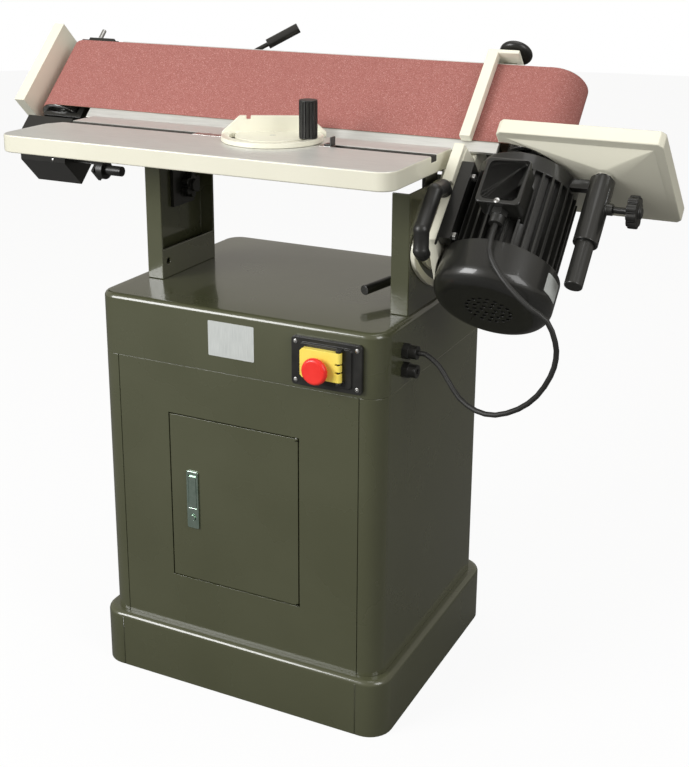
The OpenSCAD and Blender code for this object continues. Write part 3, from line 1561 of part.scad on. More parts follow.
function key_x(s) = switch_x + flap_shift + s * key_gap / 2 - flap_ear / 2;
function flap_x0() = switch_x + flap_shift - flap_w / 2;
function flap_pin_x() = switch_x + flap_shift + flap_w / 2 - flap_t / 2;
function flap_pin_y() = flap_y1() - flap_t / 2;
function flap_y1() = front_y - switch_t - switch_bezel_t - slip;

module key_block(s) translate([key_x(s), 0, flap_z])
    slab([-key_w / 2, front_y - switch_t - switch_bezel_t - key_out, -key_h / 2],
        [key_w / 2, front_y + key_in - key_travel - slip, key_h / 2]);

module start_key() color(green) key_block(1);

module off_key() color(red) key_block(-1);

module switch_flap() color(yellow) difference() {
    union() {
        translate([0, flap_y1(), flap_z]) rotate([90, 0, 0]) linear_extrude(flap_t) polygon([
            [flap_pin_x(), -flap_h / 2], [flap_pin_x(), flap_h / 2],
            [flap_x0() + flap_chamfer, flap_h / 2], [flap_x0(), flap_h / 2 - flap_chamfer],
            [flap_x0(), flap_chamfer - flap_h / 2], [flap_x0() + flap_chamfer, -flap_h / 2]
        ]);
        translate([flap_pin_x(), flap_pin_y(), flap_z]) rod_z(-flap_h / 2, flap_h / 2, flap_t / 2);
    }
    translate([switch_x + flap_shift, 0, flap_z])
        slab([-flap_w / 2 + flap_wall, flap_y1() - flap_t + flap_wall, -flap_h / 2 + flap_wall],
            [flap_w / 2 - flap_t - slip, flap_y1() + over, flap_h / 2 - flap_wall]);
    translate([flap_pin_x(), flap_pin_y(), flap_z])
        rod_z(-flap_h / 2 - over, flap_h / 2 + over, flap_pin_r + run);
    for (share = flap_notch_shares)
        translate([flap_pin_x(), 0, flap_z + flap_h * (share - 1 / 2)])
            slab([flap_t / 2 - flap_notch_in, flap_y1() - flap_t - over, -flap_notch_w / 2],
                [flap_t / 2 + over, flap_y1() + over, flap_notch_w / 2]);
    translate([switch_x + mush_shift, 0, flap_z - mush_drop])
        rod_y(flap_y1() - flap_t - over, flap_y1() + over, mush_stem_r + run);
}

module stop_mushroom() color(red) translate([switch_x + mush_shift, 0, flap_z - mush_drop]) {
    y1 = flap_y1() - flap_t;
    rod_y(y1 - mush_stand, y1 + flap_wall, mush_stem_r);
    translate([0, y1 - mush_stand, 0]) rotate([90, 0, 0]) rotate_extrude() {
        square([mush_r - mush_t / 2, mush_t]);
        translate([0, mush_t / 4]) square([mush_r, mush_t / 4]);
        translate([mush_r - mush_t / 2, mush_t / 2]) intersection() {
            circle(mush_t / 2);
            square(mush_t / 2);
        }
    }
}

plinth();
cabinet_shell();
front_panel();
cabinet_cap();
left_column();
right_column();
column_bolts();
door_panel();
door_pins();
latch_plate();
latch_pull();
latch_button();
switch_housing();
switch_flap();
stop_mushroom();
start_key();
off_key();
cable_glands();
motor_cable();
main_table();
table_brackets();
bracket_bolts();
left_table_knob();
right_table_knob();
gauge_bar();
gauge_pointer();
gauge_head();
gauge_knob();
head_frame();
platen();
sanding_belt();
left_trunnion();
right_trunnion();
tilt_pins();
trunnion_bolts();
tilt_lock_lever();
tilt_handle();
motor_housing();
motor_end_bell();
fan_cover();
terminal_box();
terminal_lid();
motor_gland();
motor_bolts();
drive_drum();
motor_fan();
idler_carriage();
idler_axle();
idler_roller();
tension_spring();
tension_lever();
end_guard();
rear_cover();
dust_hood();
tracking_knob();
work_stop();
stop_knob();
post_clamp();
contour_table();
contour_knob();
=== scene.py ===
# %% [markdown]
# # Dressing an edge sander
# The solids of the machine arrive as a fixed frame: every node sits where the drawing puts it, in metres.
# This lesson gives them rounded edges and real finishes, and adds the small things that solids leave out.

# %% Load the frame
import json
import math

import bmesh
import bpy
from mathutils import Matrix, Vector
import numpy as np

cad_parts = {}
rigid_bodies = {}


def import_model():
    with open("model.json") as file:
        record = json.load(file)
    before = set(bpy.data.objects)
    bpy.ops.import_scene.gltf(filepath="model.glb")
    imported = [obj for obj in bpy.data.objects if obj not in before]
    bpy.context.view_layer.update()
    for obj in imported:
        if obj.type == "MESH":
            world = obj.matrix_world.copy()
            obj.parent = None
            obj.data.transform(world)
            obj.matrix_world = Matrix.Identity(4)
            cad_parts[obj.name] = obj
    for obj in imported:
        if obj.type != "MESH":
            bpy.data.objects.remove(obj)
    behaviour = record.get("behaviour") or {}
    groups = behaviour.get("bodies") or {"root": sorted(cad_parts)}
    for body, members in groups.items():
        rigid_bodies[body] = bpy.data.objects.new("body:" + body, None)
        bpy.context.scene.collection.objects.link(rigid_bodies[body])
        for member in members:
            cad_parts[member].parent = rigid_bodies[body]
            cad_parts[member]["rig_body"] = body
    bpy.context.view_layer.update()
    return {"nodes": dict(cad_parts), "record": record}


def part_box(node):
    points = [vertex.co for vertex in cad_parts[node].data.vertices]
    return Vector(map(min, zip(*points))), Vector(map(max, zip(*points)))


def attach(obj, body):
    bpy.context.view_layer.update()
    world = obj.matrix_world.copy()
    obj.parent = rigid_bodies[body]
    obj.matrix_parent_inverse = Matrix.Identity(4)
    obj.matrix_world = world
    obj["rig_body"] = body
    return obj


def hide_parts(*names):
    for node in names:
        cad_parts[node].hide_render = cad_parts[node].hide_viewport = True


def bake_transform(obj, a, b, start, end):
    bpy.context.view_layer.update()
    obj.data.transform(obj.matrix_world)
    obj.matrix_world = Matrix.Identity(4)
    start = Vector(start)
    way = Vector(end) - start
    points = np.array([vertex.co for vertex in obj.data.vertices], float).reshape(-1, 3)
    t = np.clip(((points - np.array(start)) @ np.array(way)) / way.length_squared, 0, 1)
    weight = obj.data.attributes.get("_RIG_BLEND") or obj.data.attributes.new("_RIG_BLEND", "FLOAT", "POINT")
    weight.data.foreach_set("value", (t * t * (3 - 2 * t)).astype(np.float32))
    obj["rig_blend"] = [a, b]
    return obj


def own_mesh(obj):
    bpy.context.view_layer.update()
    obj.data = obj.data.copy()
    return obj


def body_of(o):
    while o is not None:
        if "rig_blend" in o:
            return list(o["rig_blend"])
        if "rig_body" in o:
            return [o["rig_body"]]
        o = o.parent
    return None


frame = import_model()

nodes = frame["nodes"]
MM = 0.001

# %% [markdown]
# ## The camera
# A camera is a place, a turn and a lens. The turn is built from three angles, and its three axes become the
# columns of a matrix: right, up and backwards. The lens comes from a focal length in pixels of the picture,
# and the shift slides the picture on the sensor without tilting the camera, as a product photographer does.

# %% Camera
IMAGE_TALL = 767
FOCAL_PX = 1264.7
OPTICAL_ROW = 291.5
EYE = Vector((0.9690, -1.8003, 1.2576))
YAW, PITCH, ROLL = (math.radians(a) for a in (26.09, 16.56, 0.38))

ahead = Vector((-math.sin(YAW) * math.cos(PITCH), math.cos(YAW) * math.cos(PITCH), -math.sin(PITCH)))
level = Vector((math.cos(YAW), math.sin(YAW), 0))
above = level.cross(ahead)
right = math.cos(ROLL) * level + math.sin(ROLL) * above
upward = math.cos(ROLL) * above - math.sin(ROLL) * level

lens = bpy.data.cameras.new("viewpoint")
lens.lens = FOCAL_PX / IMAGE_TALL * lens.sensor_width
lens.shift_y = (OPTICAL_ROW - IMAGE_TALL / 2) / IMAGE_TALL
camera = bpy.data.objects.new("viewpoint", lens)
bpy.context.scene.collection.objects.link(camera)
camera.matrix_world = Matrix((right, upward, -ahead)).transposed().to_4x4()
camera.location = EYE
bpy.context.scene.camera = camera
print("lens %.1f mm, shift %.3f" % (lens.lens, lens.shift_y))

# %% [markdown]
# ## Two frames of reference
# The belt head leans 45 degrees, so its pieces are easiest to place in the head's own directions: along the
# belt, back from the belt's face, and across the belt. One function turns such a place into the shared frame.

# %% Head directions
TILT_AXIS_Y, TILT_AXIS_Z = 50, 893
AXIS_BACK, AXIS_ACROSS = 37.5, -9
LEAN = math.sqrt(0.5)
ALONG = Vector((1, 0, 0))
BACK = Vector((0, LEAN, -LEAN))
ACROSS = Vector((0, LEAN, LEAN))


def on_head(along, back, across):
    """A place on the leaning head, from millimetres to metres."""
    spot = Vector((along, TILT_AXIS_Y, TILT_AXIS_Z))
    return (spot + BACK * (back - AXIS_BACK) + ACROSS * (across - AXIS_ACROSS)) * MM


def head_place(spot):
    """The same in reverse: millimetres along, back and across for a place in metres."""
    away = spot / MM - Vector((0, TILT_AXIS_Y, TILT_AXIS_Z))
    return away.x, away.dot(BACK) + AXIS_BACK, away.dot(ACROSS) + AXIS_ACROSS


def facing(spot, outward, upright):
    """A matrix whose Z looks outward from spot, with Y as near upright as it can be."""
    z = outward.normalized()
    x = upright.cross(z).normalized()
    return Matrix.Translation(spot) @ Matrix((x, z.cross(x), z)).transposed().to_4x4()


print("belt corner at", [round(v, 3) for v in on_head(-437, 0, 0)])

# %% [markdown]
# ## Finishes
# Each finish is a small tree of nodes. Colours are written as they look on a screen and turned to linear
# light. Noise on Object coordinates gives broad clouding for colour and gloss, and finer noise gives a bump,
# because even a new sprayed surface is never quite even.

# %% Helpers for finishes


def screen(red, green, blue):
    """A colour as seen on a screen, 0 to 255, in linear light."""
    parts = [v / 255 for v in (red, green, blue)]
    return tuple(v / 12.92 if v <= 0.04045 else ((v + 0.055) / 1.055) ** 2.4 for v in parts) + (1,)


def add(tree, kind, sockets=None, **settings):
    """A shader node with its settings, and its sockets linked or set."""
    made = tree.nodes.new("ShaderNode" + kind)
    for key, value in settings.items():
        setattr(made, key, value)
    for key, value in (sockets or {}).items():
        if isinstance(value, bpy.types.NodeSocket):
            tree.links.new(value, made.inputs[key])
        else:
            made.inputs[key].default_value = value
    return made


def blank_finish(name, **constants):
    """A new material in place of the loaded one: its tree, its shader and the object's own coordinates."""
    loaded = bpy.data.materials.get(name)
    if loaded:
        loaded.name = name + ".solid"
    finish = bpy.data.materials.new(name)
    finish.use_nodes = True
    tree = finish.node_tree
    shader = tree.nodes["Principled BSDF"]
    for key, value in constants.items():
        shader.inputs[key.replace("_", " ")].default_value = value
    where = add(tree, "TexCoord").outputs["Object"]
    return finish, tree, shader, where


def noise(tree, where, scale, detail=2.0, roughness=0.5):
    return add(tree, "TexNoise", {"Vector": where, "Scale": scale, "Detail": detail,
                                  "Roughness": roughness}).outputs["Fac"]


def stretched(tree, where, scale):
    return add(tree, "Mapping", {"Vector": where, "Scale": scale}).outputs["Vector"]


def ramp(tree, value, *stops):
    made = add(tree, "ValToRGB", {"Fac": value})
    points = made.color_ramp.elements
    while len(points) < len(stops):
        points.new(0.5)
    for point, (place, colour) in zip(points, stops):
        point.position = place
        point.color = colour
    return made.outputs["Color"]


def span(tree, value, low, high, start=0.3, end=0.7):
    return add(tree, "MapRange", {"Value": value, "From Min": start, "From Max": end,
                                  "To Min": low, "To Max": high}).outputs["Result"]


def bump(tree, shader, height, depth, strength=1.0):
    made = add(tree, "Bump", {"Height": height, "Distance": depth, "Strength": strength})
    tree.links.new(made.outputs["Normal"], shader.inputs["Normal"])


def wire_up(tree, shader, **sources):
    for key, source in sources.items():
        tree.links.new(source, shader.inputs[key.replace("_", " ")])


print("finish helpers ready")

# %% [markdown]
# ### Enamel
# The cabinet is sprayed a glossy dark olive and the castings a cream. Sprayed enamel has an orange-peel skin,
# ripples about two millimetres across and a few hundredths deep, under a clear gloss. The clear coat carries
# the sharp reflections, and the layer below stays softer.

# %% Enamel
PER_METRE = 1000
LOW_STOP, HIGH_STOP = 0.3, 0.7


def enamel(name, shade, light, peel_mm, peel_depth, gloss, coat, clouds=5, gloss_play=0.05):
    """Sprayed paint: clouded colour, an orange-peel skin and a clear coat."""
    finish, tree, shader, where = blank_finish(name, Coat_Weight=coat, Coat_Roughness=0.06)
    cloud = noise(tree, where, clouds, 5)
    skin = noise(tree, where, PER_METRE / peel_mm, 1)
    wire_up(tree, shader, Base_Color=ramp(tree, cloud, (LOW_STOP, shade), (HIGH_STOP, light)),
            Roughness=span(tree, cloud, gloss - gloss_play, gloss + gloss_play))
    bump(tree, shader, skin, peel_depth * MM, 0.35)
    return finish


olive_paint = enamel("olive_paint", screen(74, 76, 54), screen(80, 82, 60), 2.4, 0.05, 0.28, 1.0)
cream_paint = enamel("cream_paint", screen(229, 227, 209), screen(236, 234, 217), 3.0, 0.07, 0.32, 0.4)
black_steel = enamel("black_steel", screen(27, 27, 25), screen(35, 35, 32), 1.6, 0.06, 0.36, 0.55)
print("enamels:", olive_paint.name, cream_paint.name, black_steel.name)

# %% [markdown]
# ### Bare metal
# The table top is ground cast iron, and fine lines run along its length. Stretching the noise along X makes
# the lines. Turned steel and plating are smoother, so theirs are fainter.

# %% Bare metal


def bare_metal(name, shade, light, lines, gloss, depth, metal=1.0):
    """Machined metal: lines as close as the noise is stretched, in colour, gloss and bump."""
    finish, tree, shader, where = blank_finish(name, Metallic=metal)
    grain = noise(tree, stretched(tree, where, lines), 1, 3, 0.65)
    wire_up(tree, shader, Base_Color=ramp(tree, grain, (LOW_STOP, shade), (HIGH_STOP, light)),
            Roughness=span(tree, grain, gloss - 0.06, gloss + 0.08))
    bump(tree, shader, grain, depth * MM, 0.4)
    return finish


GROUND_LINES = (25, 900, 900)
TURNED_LINES = (90, 90, 500)
PLATED_LINES = (60, 60, 60)
ground_iron = bare_metal("ground_iron", screen(210, 210, 206), screen(226, 226, 222),
                         GROUND_LINES, 0.44, 0.02, 0.6)
bright_steel = bare_metal("bright_steel", screen(186, 186, 184), screen(200, 200, 198),
                          TURNED_LINES, 0.28, 0.006)
latch_chrome = bare_metal("latch_chrome", screen(180, 204, 188), screen(208, 228, 214),
                          PLATED_LINES, 0.12, 0.004)
# The slot's iron is darker than the ground top: partly oily bare iron, partly painted shade in the slot's
# recess.
slot_iron_painted_shade = bare_metal("slot_iron_painted_shade", screen(58, 56, 52), screen(74, 72, 67), GROUND_LINES, 0.55, 0.02, 0.6)
print("metals:", ground_iron.name, bright_steel.name, latch_chrome.name, slot_iron_painted_shade.name)

# %% [markdown]
# ### Mouldings and rubber
# Moulded plastic has a fine even grain from its tool. The switch cover is clean and bright, the knobs are
# black and a little worn to a sheen, and the cable's sheath is dull.

# %% Mouldings


def moulding(name, shade, light, grain_mm, depth, gloss, clouds=30, gloss_play=0.06):
    """Plastic or rubber: a fine grain from the mould, and a little clouding."""
    finish, tree, shader, where = blank_finish(name)
    cloud = noise(tree, where, clouds, 3)
    grain = noise(tree, where, PER_METRE / grain_mm, 2)
    wire_up(tree, shader, Base_Color=ramp(tree, cloud, (LOW_STOP, shade), (HIGH_STOP, light)),
            Roughness=span(tree, cloud, gloss - gloss_play, gloss + gloss_play))
    bump(tree, shader, grain, depth * MM, 0.3)
    return finish


cable_rubber = moulding("cable_rubber", screen(33, 33, 32), screen(44, 44, 42), 0.9, 0.05, 0.48)
mouldings = [
    cable_rubber,
    moulding("black_plastic", screen(30, 30, 29), screen(40, 40, 38), 0.8, 0.05, 0.36),
    moulding("yellow_plastic", screen(252, 226, 96), screen(255, 234, 110), 0.9, 0.03, 0.32),
    moulding("red_plastic", screen(240, 48, 42), screen(250, 60, 52), 0.9, 0.03, 0.30),
    moulding("green_plastic", screen(30, 112, 58), screen(40, 128, 68), 0.9, 0.03, 0.32)]
print("mouldings:", [m.name for m in mouldings])

# %% [markdown]
# ### The sanding belt
# The belt is cloth with red-brown grit glued to its outer side. Voronoi cells under a millimetre wide stand
# for the grains: each takes its own brightness, some flash pale, and the distance to the cell's middle is the
# bump. The inner side shows the woven backing, two crossed waves.

# %% Belt finishes
GRAIN_MM = 0.7
WEAVE = 260
abrasive_cloth, tree, shader, where = blank_finish("abrasive_cloth", Roughness=0.78)
grains = add(tree, "TexVoronoi", {"Vector": where, "Scale": PER_METRE / GRAIN_MM})
each = add(tree, "SeparateColor", {"Color": grains.outputs["Color"]}).outputs["Red"]
body = ramp(tree, each, (0.0, screen(136, 78, 71)), (0.55, screen(161, 99, 92)),
            (0.9, screen(176, 116, 109)), (1.0, screen(214, 170, 162)))
cloud = noise(tree, stretched(tree, where, (9, 2, 2)), 1, 3)
worn = add(tree, "Mix", {"Factor": span(tree, cloud, 0, 0.35), "A": body, "B": screen(154, 92, 85)},
           data_type="RGBA").outputs["Result"]
wire_up(tree, shader, Base_Color=worn)
bump(tree, shader, grains.outputs["Distance"], 0.35 * MM, 0.6)

belt_backing, tree, shader, where = blank_finish("belt_backing", Roughness=0.85)
warp = add(tree, "TexWave", {"Vector": where, "Scale": WEAVE}, bands_direction="X").outputs["Fac"]
weft = add(tree, "TexWave", {"Vector": where, "Scale": WEAVE}, bands_direction="Z").outputs["Fac"]
weave = add(tree, "Math", {0: warp, 1: weft}, operation="MULTIPLY").outputs["Value"]
wire_up(tree, shader, Base_Color=ramp(tree, weave, (0.1, screen(120, 98, 78)), (0.9, screen(168, 146, 120))))
bump(tree, shader, weave, 0.2 * MM, 0.5)
print("belt:", abrasive_cloth.name, belt_backing.name)

# %% [markdown]
# ## Rounded edges
# A solid's edges are perfectly sharp, and nothing real is: the thin bright line along an edge is what makes a
# part look made. A copy of each node is merged, its flat triangles are joined, and a Bevel modifier rounds
# the edges that turn by more than 32 degrees. The copy stands for the node only if its volume hardly changes.

# %% Edge rounding
SHARP = math.radians(32)


def tidy_copy(node):
    """The node's mesh, merged and with its flat triangles joined."""
    work = bmesh.new()
    work.from_mesh(nodes[node].data)
    bmesh.ops.remove_doubles(work, verts=work.verts, dist=2e-6)
    bmesh.ops.dissolve_limit(work, angle_limit=math.radians(0.4), verts=work.verts, edges=work.edges)
    return work


def settle(name, work, finishes, body):
    """A finished mesh as an object that rides on a body and takes its finish from a slot."""
    mesh = bpy.data.meshes.new(name)
    work.to_mesh(mesh)
    work.free()
    for finish in finishes:
        mesh.materials.append(finish)
    mesh.polygons.foreach_set("use_smooth", [True] * len(mesh.polygons))
    mesh.set_sharp_from_angle(angle=SHARP)
    made = bpy.data.objects.new(name, mesh)
    bpy.context.scene.collection.objects.link(made)
    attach(made, body)
    return made


def enclosed(made):
    """The volume of an object with its modifiers, and whether it is closed."""
    work = bmesh.new()
    work.from_object(made, bpy.context.evaluated_depsgraph_get())
    volume = work.calc_volume()
    shut = all(len(e.link_faces) == 2 for e in work.edges)
    work.free()
    return volume, shut


def round_edges(made, width, segments=2):
    soft = made.modifiers.new("edges", "BEVEL")
    soft.width = width * MM
    soft.segments = segments
    soft.limit_method = "ANGLE"
    soft.angle_limit = SHARP
    soft.harden_normals = True
    soft.use_clamp_overlap = False
    return soft


print("edges that turn more than %.0f degrees are rounded" % math.degrees(SHARP))

# %% [markdown]
# Each node's finish comes from the record's slot of the same name, and its rounding from a short table: a
# casting is rounder than sheet steel, and a bolt's head is barely broken. A width that is too large for a
# narrow feature is halved until the volume agrees, and a node that never agrees keeps its own mesh.

# %% Dress the nodes
FINISH = {m["slot"]: bpy.data.materials[m["slot"]] for m in frame["record"]["materials"]}
SLOT = {s["node"]: s["material_slot"] for s in frame["record"]["subparts"]}
USUAL_EDGE = 0.7
EDGE = {"front_panel": 0.3, "door_panel": 0.35, "cabinet_cap": 1.0, "left_column": 1.6, "right_column": 1.6,
        "main_table": 2.5, "contour_table": 2.0, "gauge_head": 1.2, "gauge_knob": 1.2, "work_stop": 1.4,
        "left_trunnion": 1.2, "right_trunnion": 1.4, "end_guard": 0.6, "rear_cover": 0.6,
        "switch_housing": 1.2, "switch_flap": 1.4, "stop_mushroom": 1.5, "latch_plate": 0.8,
        "latch_pull": 0.8, "terminal_box": 1.4, "terminal_lid": 2.2, "cable_glands": 0.5, "motor_gland": 0.5,
        "motor_housing": 0.5, "motor_end_bell": 1.6, "fan_cover": 1.0, "post_clamp": 1.0,
        "contour_knob": 2.0, "stop_knob": 1.6, "tilt_lock_lever": 1.0}
SEPARATE = ("motor_cable", "tension_spring", "sanding_belt")
CLOSE_ENOUGH = 0.03
TRIES = 4
dressed = {}
kept = []
for node in sorted(nodes):
    finish = FINISH[SLOT[node]]
    nodes[node].data.materials.clear()
    nodes[node].data.materials.append(finish)
    if node in SEPARATE:
        continue
    body = body_of(nodes[node])[0]
    work = tidy_copy(node)
    aim = work.calc_volume()
    made = settle(node + ".edged", work, [finish], body)
    soft = round_edges(made, EDGE.get(node, USUAL_EDGE))
    for attempt in range(TRIES):
        bpy.context.view_layer.update()
        volume, shut = enclosed(made)
        if shut and abs(volume - aim) < CLOSE_ENOUGH * aim:
            break
        soft.width /= 2
    else:
        bpy.data.objects.remove(made)
        kept.append(node)
        continue
    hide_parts(node)
    dressed[node] = made
    if attempt:
        print(node, "rounded by %.2f mm" % (soft.width / MM), "shut" if shut else "open")
print("rounded:", len(dressed), "left as they are:", kept)

# %% [markdown]
# ### Two finishes on one casting
# A casting is painted all over, and then its working face is ground bare. Its slot is given a dark iron that
# is partly oily bare iron and partly painted shade in the recess. The faces are picked by a test on their
# centres and normals and given a second material. The contour table's post stays black.

# %% Second finishes


def repaint(node, finish, chosen):
    """Another finish on the faces of a node that a test picks."""
    mesh = dressed[node].data
    mesh.materials.append(finish)
    picked = [f for f in mesh.polygons if chosen(f)]
    for f in picked:
        f.material_index = len(mesh.materials) - 1
    return len(picked)


def on_table_top(face):
    return face.normal.z > FLAT and face.center.z > table_top - NEAR * MM


def on_contour_top(face):
    return face.normal.dot(ACROSS) > FLAT and abs(face.center.dot(ACROSS) - contour_top) < NEAR * MM


def in_slot(face):
    near = abs(face.center.y - SLOT_Y * MM) < SLOT_HALF * MM
    return near and table_top - SLOT_DEEP * MM < face.center.z < table_top - SLOT_TOP * MM


def on_post(face):
    along, back, across = head_place(face.center)
    return math.hypot(along - POST_ALONG, back - POST_BACK) < POST_R and across < POST_TOP


FLAT, NEAR = 0.99, 0.5
SLOT_Y, SLOT_HALF, SLOT_DEEP, SLOT_TOP = -62, 11, 10.5, 0.1
CONTOUR_ACROSS = 14
POST_ALONG, POST_BACK, POST_R, POST_TOP = 503, 20, 14, -36
table_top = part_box("main_table")[1].z
contour_top = on_head(0, 0, CONTOUR_ACROSS).dot(ACROSS)
for casting in ("main_table", "contour_table"):
    dressed[casting].data.materials[0] = cream_paint
print("table top:", repaint("main_table", ground_iron, on_table_top))
# The slot's faces take the dark iron, which is partly painted shade in the recess.
print("slot:", repaint("main_table", slot_iron_painted_shade, in_slot))
print("contour top:", repaint("contour_table", ground_iron, on_contour_top))
print("post:", repaint("contour_table", black_steel, on_post))
print("platen:", repaint("platen", ground_iron, lambda f: True))

# %% [markdown]
# ### The belt's two sides
# The belt is one closed loop. A face belongs to the grit if it looks away from the line between the two
# rollers, and to the backing if it looks towards it or lies on the belt's edge.

# %% Belt
HALF_RUN = 0.45
LOOKS_OUT, ON_EDGE = 0.3, 0.7
work = tidy_copy("sanding_belt")
belt = settle("sanding_belt.grit", work, [abrasive_cloth, belt_backing], "head")
middle = on_head(-69, 45, 75)
inner = 0
for face in belt.data.polygons:
    span_out = face.center - middle
    reach = max(-HALF_RUN, min(HALF_RUN, span_out.dot(ALONG)))
    outward = span_out - ALONG * reach
    if face.normal.dot(outward) <= LOOKS_OUT * outward.length or abs(face.normal.dot(ACROSS)) > ON_EDGE:
        face.material_index = 1
        inner += 1
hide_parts("sanding_belt")
print("belt faces:", len(belt.data.polygons), "on the backing:", inner)

# %% [markdown]
# ## The motor cable
# The cable leaves the terminal box straight down, hangs in one loop and goes into the cabinet's upper gland.
# A curve through the route's points gives its line, its bevel gives its thickness, and turning it into a mesh
# lets its upper end follow the head while its lower end stays with the stand.

# %% Cable


def tube_mesh(name, points, radius, rings):
    """A round tube along a line of points, with closed ends, as a mesh."""
    curve = bpy.data.curves.new(name, "CURVE")
    curve.dimensions = "3D"
    curve.bevel_depth = radius
    curve.bevel_resolution = rings
    curve.use_fill_caps = True
    run = curve.splines.new("POLY")
    run.points.add(len(points) - 1)
    for point, place in zip(run.points, points):
        point.co = (*place, 1)
    drawn = bpy.data.objects.new(name, curve)
    bpy.context.scene.collection.objects.link(drawn)
    bpy.context.view_layer.update()
    tube = bpy.data.meshes.new_from_object(drawn.evaluated_get(bpy.context.evaluated_depsgraph_get()))
    bpy.data.objects.remove(drawn)
    tube.materials.clear()
    return tube


CABLE_R = 4
GLAND_OUT = (392, -135.97, 838.55)
ROUTE = [GLAND_OUT, (392, -144.46, 830.07), (397, -172, 810), (413, -188, 790), (437, -198, 768),
         (468, -202, 744), (493, -198, 727), (505, -193, 697), (506, -188, 671), (498, -183, 642),
         (478, -176, 607), (449, -168, 579), (412, -160, 560), (379, -152, 558), (350, -146, 571),
         (329, -141, 594), (312, -138, 614), (290, -136, 627), (278, -136, 627)]
coarse = [Vector(p) * MM for p in ROUTE]
line = []
for i, point in enumerate(coarse[:-1]):
    after = coarse[i + 1]
    line.append(point)
    if 0 < i < len(coarse) - 2:
        line.append((9 * (point + after) - coarse[i - 1] - coarse[i + 2]) / 16)
    else:
        line.append((point + after) / 2)
line.append(coarse[-1])

sheath = tube_mesh("cable_line", line, CABLE_R * MM, 4)
sheath.materials.append(cable_rubber)
sheath.polygons.foreach_set("use_smooth", [len(p.vertices) == 4 for p in sheath.polygons])
cable = bpy.data.objects.new("motor_cable.sheath", sheath)
bpy.context.scene.collection.objects.link(cable)
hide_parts("motor_cable")
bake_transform(cable, "stand", "head", start=coarse[-1], end=coarse[0])

# %% [markdown]
# ## The tension spring
# A compression spring sits on the carriage's bar and pushes the idler outwards. It is a helix, made by the
# same tube function as the cable.

# %% Spring
SPRING_R, WIRE_R = 21, 2
SPRING_BACK, SPRING_ACROSS = 40, 75
spring_low, spring_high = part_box("tension_spring")
SPRING_TURNS = 4
STEPS = 24
start_x, end_x = spring_low.x / MM + WIRE_R, spring_high.x / MM - WIRE_R
helix = []
for i in range(SPRING_TURNS * STEPS + 1):
    turn = i / STEPS * math.tau
    share = i / (SPRING_TURNS * STEPS)
    helix.append(on_head(start_x + share * (end_x - start_x), SPRING_BACK + SPRING_R * math.cos(turn),
                         SPRING_ACROSS + SPRING_R * math.sin(turn)))
wound = tube_mesh("spring_line", helix, WIRE_R * MM, 3)
wound.materials.append(bright_steel)
wound.polygons.foreach_set("use_smooth", [True] * len(wound.polygons))
spring = bpy.data.objects.new("tension_spring.wire", wound)
bpy.context.scene.collection.objects.link(spring)
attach(spring, "head")
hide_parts("tension_spring")
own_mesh(spring)
print("spring of", SPRING_TURNS, "curls,", len(wound.polygons), "faces")

# %% [markdown]
# ## Small screws
# A cross-head screw starts as a grid: its border is pushed out to a circle, the whole is domed, the five
# cells of the cross are pushed in, and the border is drawn down to make the head's side. One mesh serves all.

# %% Screws


def screw_mesh(radius, height):
    """A domed cross-head screw, its seat at the origin, in metres."""
    work = bmesh.new()
    bmesh.ops.create_grid(work, x_segments=5, y_segments=5, size=1)
    lines = {-1.0: -1.0, -0.6: -0.45, -0.2: -0.12, 0.2: 0.12, 0.6: 0.45, 1.0: 1.0}
    for v in work.verts:
        x, y = (lines[round(c, 1)] for c in v.co[:2])
        flat = Vector((x, y, 0))
        if max(abs(x), abs(y)) == 1.0:
            flat.normalize()
        v.co = flat * radius + Vector((0, 0, height * (1 - 0.45 * flat.length_squared)))
    arms = []
    for f in work.faces:
        mid = f.calc_center_median() / radius
        if min(abs(mid.x), abs(mid.y)) < 0.1 and max(abs(mid.x), abs(mid.y)) < 0.45:
            arms.append(f)
    pushed = bmesh.ops.extrude_face_region(work, geom=arms)["geom"]
    bmesh.ops.delete(work, geom=arms, context="FACES_ONLY")
    sunk = [g for g in pushed if isinstance(g, bmesh.types.BMVert)]
    bmesh.ops.translate(work, verts=sunk, vec=(0, 0, -0.5 * height))
    rim = [e for e in work.edges if len(e.link_faces) == 1]
    side = bmesh.ops.extrude_edge_only(work, edges=rim)["geom"]
    low = [g for g in side if isinstance(g, bmesh.types.BMVert)]
    for v in low:
        v.co.z = 0
    bmesh.ops.holes_fill(work, edges=[e for e in work.edges if len(e.link_faces) == 1], sides=0)
    bmesh.ops.recalc_face_normals(work, faces=work.faces)
    return work


def screws(name, places, radius, height, finish, body):
    """One piece of several screws, each at a matrix whose Z is its axis."""
    whole = bmesh.new()
    for place in places:
        one = screw_mesh(radius * MM, height * MM)
        bmesh.ops.transform(one, matrix=place, verts=one.verts)
        mesh = bpy.data.meshes.new("screw")
        one.to_mesh(mesh)
        one.free()
        whole.from_mesh(mesh)
        bpy.data.meshes.remove(mesh)
    return settle(name, whole, [finish], body)


UP = Vector((0, 0, 1))
FRONT = Vector((0, -1, 0))
SWITCH_X, SWITCH_Z = 166, 616
SCREW_DX, SCREW_DZ = 51.5, 30.5
PLATE_FACE = -221
switch_corners = [Vector((SWITCH_X + sx * SCREW_DX, PLATE_FACE, SWITCH_Z + sz * SCREW_DZ))
                  for sx in (-1, 1) for sz in (-1, 1)]
switch_places = [facing(corner * MM, FRONT, UP) for corner in switch_corners]
hood_place = facing(Vector((-495, -9.9, 832)) * MM, FRONT, UP)
lid_place = facing(on_head(392, -79, -154), -BACK, ACROSS)
switch_screws = screws("switch_screws", switch_places, 3.4, 1.6, bright_steel, "stand")
screws("hood_screw", [hood_place], 2.6, 1.4, bright_steel, "head")
screws("lid_screw", [lid_place], 4.2, 2.2, bright_steel, "head")
print("screws:", len(switch_screws.data.polygons), "faces on the switch plate")

# %% [markdown]
# ## Bare plates
# The machine has a thin plate on its cap and another on its motor. Here both are blank. Each is a cube
# pressed flat, with its four short edges rounded.

